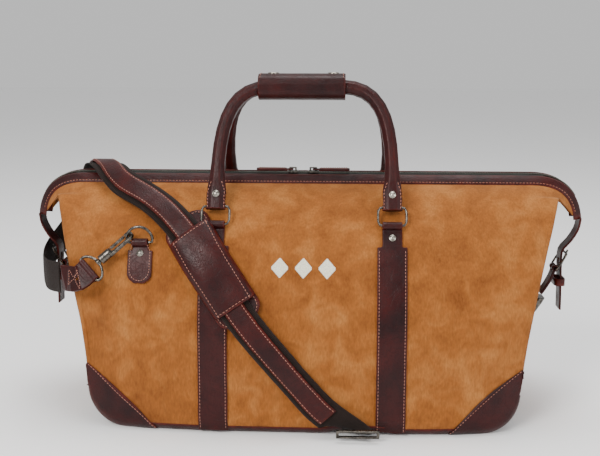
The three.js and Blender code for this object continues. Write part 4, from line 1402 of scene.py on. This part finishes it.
@dataclass
class ShoulderStrap:
    """Webbing with a leather strip on it, a padded rest, an adjuster and leather ends."""

    middle: Spline = field(init=False)
    outward: Spline = field(init=False)

    STRIP_FROM = 14 / 84
    STRIP_TO = 50 / 84
    LEVEL = (12.0, 34.0)
    PAD_SHARE = 12 / 26

    def __post_init__(self) -> None:
        """Lays out the stations that the strap passes through, from its front end to its back end."""
        def free(at: Point, out: Point) -> tuple[Vector, Vector]:
            return Vector(at), Vector(out).normalized()

        def lying(x: float, z: float, side: Side, lift: float) -> tuple[Vector, Vector]:
            return BodyShape.above(x, z, side, lift), BodyShape.normal(x, z, side)

        under = 0.6
        stations = [
            free((-271.0, -96.4, 170.0), (-0.5, -0.86, 0.05)),
            free((-294, -72, 168), (-0.85, -0.5, 0)),
            free((-311, -28, 171), (-0.98, -0.2, 0)),
            free((-313, 12, 180), (-1, 0.15, 0)),
            free((-303, 50, 198), (-0.8, 0.6, 0.1)),
            free((-287, 74, 225), (-0.3, 0.85, 0.4)),
            free((-270, 58, 258), (0, 0.75, 0.65)),
            free((-252, 22, 283), (0, 0.3, 0.95)),
            free((-234, -8, 285), (0, -0.2, 1)),
            free((-208, -42, 270), (0, -0.75, 0.65)),
            lying(-170, 246, Side.FRONT, STRAP_LIFT + 2),
            lying(-130, 217, Side.FRONT, STRAP_LIFT),
            lying(*PAD_MIDDLE, Side.FRONT, STRAP_LIFT),
            lying(-72.5, 140.7, Side.FRONT, STRAP_LIFT),
            lying(-28, 88, Side.FRONT, STRAP_LIFT),
            lying(15, 38, Side.FRONT, STRAP_LIFT),
            lying(45, 16, Side.FRONT, STRAP_LIFT + 1.5),
            free((57, -124, 8), (0, -0.85, -0.5)),
            free((61, -114, 0.8), (0, -0.2, -0.98)),
            free((66, -88, under), (0, 0, -1)),
            free((76, 0, under), (0, 0, -1)),
            free((86, 88, under), (0, 0, -1)),
            free((89, 113, 0.8), (0, 0.2, -0.98)),
            free((93, 129, 8), (0, 0.88, -0.48)),
            lying(97, 26, Side.BACK, STRAP_LIFT + 2),
            lying(102, 90, Side.BACK, STRAP_LIFT + 3),
            free((111.2, 116.6, 156.4), (0.02, 0.96, 0.28)),
        ]
        self.middle = Spline([at for at, _ in stations])
        self.outward = Spline([out for _, out in stations])

    def band_point(self, share: float, offset: float, lift: float) -> Vector:
        """Point of the strap's outer face.

        Args:
            share: share of the route, from the front end to the back end.
            offset: distance from the strap's middle line, across it.
            lift: height above the outer face.

        Returns:
            The point, after the sag of the body below.
        """
        tangent = self.middle.tangent(share)
        at = self.middle.at(share)
        square = tangent.cross(self.outward.at(share)).normalized()
        level = smooth((at.z - self.LEVEL[0]) / (self.LEVEL[1] - self.LEVEL[0]))
        across = Vector((square.x, square.y, square.z * level)).normalized()
        normal = across.cross(tangent).normalized()
        lift += 2.9 * smooth((0.082 - abs(share - self.PAD_SHARE)) / 0.03)
        return Sag.moved(at + across * (offset / across.dot(square)) + normal * lift)

    def webbing(self) -> None:
        """The woven band, the whole way round."""
        def face(u: float, v: float) -> Vector:
            crown = 0.35 * (1 - (2 * u - 1) ** 2)
            return self.band_point(v, mix(-WEB_WIDTH / 2, WEB_WIDTH / 2, u), crown - 0.2)
        made = MeshMaker.sheet("webbing.look", face, 10, 620, WEB_THICK, (WEB_WIDTH, 1330))
        WEB.dress(made, "bag")
        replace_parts(made, "strap_webbing")

    def strip(self) -> None:
        """The leather strip sewn along the webbing's outer face."""
        lift = STRIP_THICK + 7 * GAP

        def face(u: float, v: float) -> Vector:
            crown = 0.8 * (1 - (2 * u - 1) ** 4)
            return self.band_point(mix(self.STRIP_FROM, self.STRIP_TO, v),
                                   mix(-STRIP_WIDTH / 2, STRIP_WIDTH / 2, u), lift + crown - 0.5)
        made = MeshMaker.sheet("strap_leather.look", face, 12, 330, STRIP_THICK + 1.6, (STRIP_WIDTH, 560))
        OXBLOOD.dress(made, "bag")
        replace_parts(made, "strap_leather")
        shares = [mix(self.STRIP_FROM, self.STRIP_TO, mix(0.005, 0.995, i / 260)) for i in range(261)]
        lines = [[self.band_point(share, edge, lift + 0.3) for share in shares] for edge in (-9.6, 9.6)]
        StitchRun("strap_stitches", "bag", TRIM_THREAD, lines, Surface(made)).build()

    @staticmethod
    def pad_point(u: float, w: float, lift: float) -> Vector:
        """Point over the pad's place on the body.

        Args:
            u: share of the pad's half length, rising towards the adjuster.
            w: share of its half width.
            lift: height above the panel.

        Returns:
            The point, after the sag of the body below.
        """
        normal = BodyShape.normal(*PAD_MIDDLE, Side.FRONT)
        level = (Vector((1, 0, 0)) - normal * normal.x).normalized()
        along = level * math.cos(PAD_ANGLE) - normal.cross(level) * math.sin(PAD_ANGLE)
        across = normal.cross(along)
        at = BodyShape.point(*PAD_MIDDLE, Side.FRONT)
        at = at + along * (u * PAD_LENGTH / 2) + across * (w * PAD_WIDTH / 2)
        return Sag.moved(BodyShape.above(at.x, at.z, Side.FRONT, lift))

    @staticmethod
    def pad_width(u: float) -> float:
        """Share of the full width at u, where the ends round off."""
        past = clamp((abs(u) - 0.76) / 0.24)
        return max(0.02, 1 - past**2.3) ** (1 / 2.3)

    @staticmethod
    def overlay_lift(u: float, w: float) -> float:
        """Height of the overlay, swelling over the strap that passes under it."""
        crown = 7.6 * (1 - abs(w) ** 3.4)
        dent = 0.7 * noise.noise(Vector((u * 2.6, w * 1.3, 4.0))) * (1 - w * w)
        return 8.4 + crown + dent + 0.5 * math.sin(math.pi * (u + 0.7) / 1.4)

    def pad(self) -> None:
        """The rest: a rounded leather base under the strap, and a padded overlay sewn across it."""
        base = MeshMaker.sheet(
            "pad_base.look",
            lambda u, v: self.pad_point(
                mix(-0.995, 0.995, v), -mix(-1, 1, u) * self.pad_width(2 * v - 1), 6.4),
            24, 70, 3.0, (PAD_WIDTH, PAD_LENGTH))
        OXBLOOD.dress(base, "bag")
        reach = 0.7
        overlay = MeshMaker.sheet(
            "pad_overlay.look",
            lambda u, v: self.pad_point(mix(-reach, reach, v), -mix(-1, 1, u), self.overlay_lift(
                mix(-reach, reach, v), mix(-1, 1, u))),
            30, 70, 2.2, (PAD_WIDTH, PAD_LENGTH * reach))
        OXBLOOD.dress(overlay, "bag")
        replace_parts(overlay, "shoulder_pad")
        ring = []
        for i in range(121):
            u = 0.93 * math.sin(2 * math.pi * i / 120)
            w = math.copysign(0.88, math.cos(2 * math.pi * i / 120)) * self.pad_width(u * 1.03)
            ring.append(self.pad_point(u, w, 6.5))
        ends = [[p for p in ring[k:k + 31]] for k in (15, 75)]
        lines = [[self.pad_point(u, w, 20.0) for u in (-0.68, -0.3, 0.0, 0.3, 0.68)] for w in (-0.89, 0.89)]
        lines += [[self.pad_point(u, w / 10, 20.0) for w in range(-9, 10)] for u in (-0.66, 0.66)]
        StitchRun("pad_overlay_stitches", "bag", TRIM_THREAD, lines, Surface(overlay)).build()
        StitchRun("pad_base_stitches", "bag", TRIM_THREAD, ends, Surface(base)).build()

    def ends(self) -> None:
        """Leather ends folded round the swivels, with crossed stitching."""
        for side in Side:
            made = RoundedPiece(f"strap_end_{side.label}", OXBLOOD, 0.55, 4).made()
            low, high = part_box(f"strap_end_{side.label}")
            centre = (low + high) / (2 * MM)
            share = 0.004 if side is Side.FRONT else 0.996
            tangent = self.middle.tangent(share)
            square = tangent.cross(self.outward.at(share)).normalized()
            out = self.outward.at(share).normalized() * 12
            a, b = tangent * 10, square * 9
            crossed = ((-1, -1), (1, 1), (1, -1), (-1, 1), (-1, -1))
            corners = [centre + out + a * p + b * q for p, q in crossed]
            StitchRun(f"strap_end_stitches_{side.label}", "bag", TRIM_THREAD, [corners], Surface(made),
                      spacing=2.8).build()

    def fittings(self) -> None:
        """Hooks, gates, swivels, D-rings and the adjuster."""
        for label in ("front", "back"):
            for node, voxel in ((f"hook_{label}", 0.5), (f"hook_gate_{label}", 0.38),
                                (f"hook_swivel_{label}", 0.45), (f"d_ring_{label}", 0.38)):
                RoundedPiece(node, GUNMETAL, voxel, 4).made()
        RoundedPiece("strap_slider", GUNMETAL, 0.42, 4).made()

    def tabs(self, rivets: Rivets) -> None:
        """Leather tabs that hold the D-rings, stitched round the rounded end and riveted."""
        for side, end in ((Side.FRONT, -1), (Side.BACK, 1)):
            made = RoundedPiece(f"d_ring_tab_{side.label}", OXBLOOD, 0.7, 3).made()
            x = end * DRING_X
            line = [BodyShape.above(x - 11.2, DRING_Z - 6, side, 8)]
            for i in range(13):
                turn = math.pi * i / 12
                line.append(BodyShape.above(
                    x - 11.2 * math.cos(turn), DRING_Z - 27 - 11.2 * math.sin(turn), side, 8))
            line.append(BodyShape.above(x + 11.2, DRING_Z - 6, side, 8))
            surface = Surface(made)
            StitchRun(f"tab_stitches_{side.label}", "bag", TRIM_THREAD, [line], surface, spacing=3.0).build()
            rivets.put("bag", surface, BodyShape.above(x, DRING_Z - 10, side, 30),
                       -BodyShape.normal(x, DRING_Z - 10, side), Rivets.RIVET)

    def build(self, rivets: Rivets) -> None:
        """The whole strap with its fittings."""
        self.webbing()
        self.strip()
        self.pad()
        self.ends()
        self.fittings()
        self.tabs(rivets)


@dataclass
class WingStraps:
    """Straps, tabs, buckles and clips that hold the wings down."""

    def keeper(self, label: str, end: int) -> bpy.types.Object:
        """Leather loop round the strap's free tail."""
        points: list[Vector] = []
        faces: list[tuple[int, ...]] = []
        sides, half = 24, (5.6, 12.4)
        profile = ((-4.0, -0.8), (4.0, -0.8), (4.3, 0.0), (4.0, 0.9), (-4.0, 0.9), (-4.3, 0.0))
        for k in range(sides):
            turn = 2 * math.pi * k / sides
            c, s = math.cos(turn), math.sin(turn)
            x, y = (half[i] * math.copysign(abs(v) ** 0.45, v) for i, v in enumerate((c, s)))
            out = Vector((x / half[0], y / half[1] * 0.6, 0)).normalized()
            for rise, lift in profile:
                points.append(Vector((end * 299.6 + x, y, SIDE_KEEPER_Z + rise)) + out * lift)
        count = len(profile)
        for k in range(sides):
            for p in range(count):
                a, b = k * count + p, k * count + (p + 1) % count
                c, d = ((k + 1) % sides) * count + (p + 1) % count, ((k + 1) % sides) * count + p
                faces.append((a, b, c, d))
        made = MeshMaker.from_parts(f"side_keeper_{label}", points, faces)
        return OXBLOOD.dress(made, "bag")

    def build(self) -> None:
        """Both ends."""
        for label, end in (("left", -1), ("right", 1)):
            surface = None
            for node in ("side_strap", "side_tab"):
                surface = Surface(RoundedPiece(f"{node}_{label}", OXBLOOD, 0.7, 3).made())
                if node == "side_strap":
                    lines = [[Vector((end * 330, edge * 7.6, z)) for z in (222, 210, 198, 186)]
                             for edge in (-1, 1)]
                    StitchRun(f"side_strap_stitches_{label}", "bag", TRIM_THREAD, lines, surface,
                              spacing=3.0).build()
            for node, voxel in (("side_buckle", 0.4), ("side_prong", 0.36), ("side_clip", 0.5)):
                RoundedPiece(f"{node}_{label}", GUNMETAL, voxel, 3).made()
            self.keeper(label, end)


@dataclass
class Motif:
    """A small embroidered row of diamonds on the front panel."""

    middle: tuple[float, float] = (1.0, 184.0)
    half: float = 10.5
    pitch: float = 26.0

    def build(self) -> None:
        """Satin stitches that fill each diamond."""
        lines = []
        for k in (-1, 0, 1):
            count = 22
            for i in range(count):
                across = mix(-1, 1, (i + 0.5) / count)
                tall = self.half * (1 - abs(across))
                x = self.middle[0] + k * self.pitch + across * self.half * 0.95
                line = []
                for j in range(7):
                    step = mix(-1, 1, j / 6)
                    lift = 0.15 + 0.5 * (1 - step * step)
                    line.append(Sag.moved(BodyShape.above(x, self.middle[1] + step * tall, Side.FRONT, lift)))
                if tall > 0.8:
                    lines.append(line)
        CORDS.run("motif_threads", lines, MOTIF_THREAD, "bag", 1.0, (1.0, 0.5, 0.5))


# ---------------------------------------------------------------- inside, and the studio


def dress_inner_nodes() -> None:
    """Materials for the CAD nodes that keep their own shape."""
    for node, finish in (("lining", LINING), ("base_board", BOARD), ("handle_core_front", BOARD),
                         ("handle_core_back", BOARD)):
        mesh = frame["nodes"][node].data
        mesh.materials.clear()
        mesh.materials.append(finish.material())


@dataclass(frozen=True)
class SoftBox:
    """One large soft lamp."""

    name: str
    at: tuple[float, float, float]
    towards: tuple[float, float, float]
    size: float
    power: float
    colour: tuple[float, float, float] = (1.0, 1.0, 1.0)

    def build(self) -> None:
        """Adds the lamp."""
        lamp = bpy.data.lights.new(self.name, "AREA")
        lamp.shape = "DISK"
        lamp.size = self.size
        lamp.energy = self.power
        lamp.color = self.colour
        made = MeshMaker.link(self.name, lamp)
        made.location = self.at
        aim = Vector(self.towards) - Vector(self.at)
        made.rotation_euler = aim.to_track_quat("-Z", "Y").to_euler()


@dataclass
class Studio:
    """Floor, lamps and camera."""

    LENS = 53.76
    CAMERA_AT = (0.04725, -1.04896, 0.418)
    CAMERA_TURN = (math.radians(78.8), 0.0, math.radians(3.0))

    def floor(self) -> None:
        """Plain pale floor."""
        made = MeshMaker.from_parts("floor", [(-9000, -9000, 0), (9000, -9000, 0), (9000, 9000, 0),
                                              (-9000, 9000, 0)], [(0, 1, 2, 3)])
        paint = bpy.data.materials.new("Floor white")
        paint.use_nodes = True
        shader = paint.node_tree.nodes["Principled BSDF"]
        shader.inputs["Base Color"].default_value = (0.97, 0.97, 0.97, 1.0)
        shader.inputs["Roughness"].default_value = 0.7
        made.data.materials.append(paint)

    def build(self) -> None:
        """The whole studio."""
        self.floor()
        world = bpy.data.worlds.new("Studio world")
        world.use_nodes = True
        world.node_tree.nodes["Background"].inputs["Color"].default_value = (1.0, 1.0, 1.0, 1.0)
        world.node_tree.nodes["Background"].inputs["Strength"].default_value = 0.68
        bpy.context.scene.world = world
        for lamp in (
            SoftBox("Key", (-1.1, -1.9, 1.7), (0, 0, 0.15), 1.1, 56.0, (1.0, 0.98, 0.95)),
            SoftBox("Fill", (1.9, -1.5, 1.0), (0, 0, 0.15), 1.4, 24.0),
            SoftBox("Top", (0.1, 0.2, 2.1), (0, 0, 0.1), 1.3, 31.0),
        ):
            lamp.build()
        camera = bpy.data.cameras.new("Camera")
        camera.lens = self.LENS
        camera.sensor_width = 36.0
        made = MeshMaker.link("Camera", camera)
        made.location = self.CAMERA_AT
        made.rotation_euler = self.CAMERA_TURN
        bpy.context.scene.camera = made


def main() -> None:
    """Builds every assembly in order, then the studio."""
    logging.basicConfig(level=logging.INFO, format="%(message)s")
    rivets = Rivets()
    Shell().build()
    straps = Trim().build()
    for (side, end), strap in straps.items():
        x = end * HANDLE_X
        rivets.put("bag", Surface(strap), BodyShape.above(x, 215.0, side, 30),
                   -BodyShape.normal(x, 215.0, side), Rivets.RIVET)
    ZipTop().build()
    Carry(rivets).build()
    ShoulderStrap().build(rivets)
    WingStraps().build()
    Motif().build()
    rivets.build()
    dress_inner_nodes()
    Studio().build()


if __name__ == "__main__":
    main()
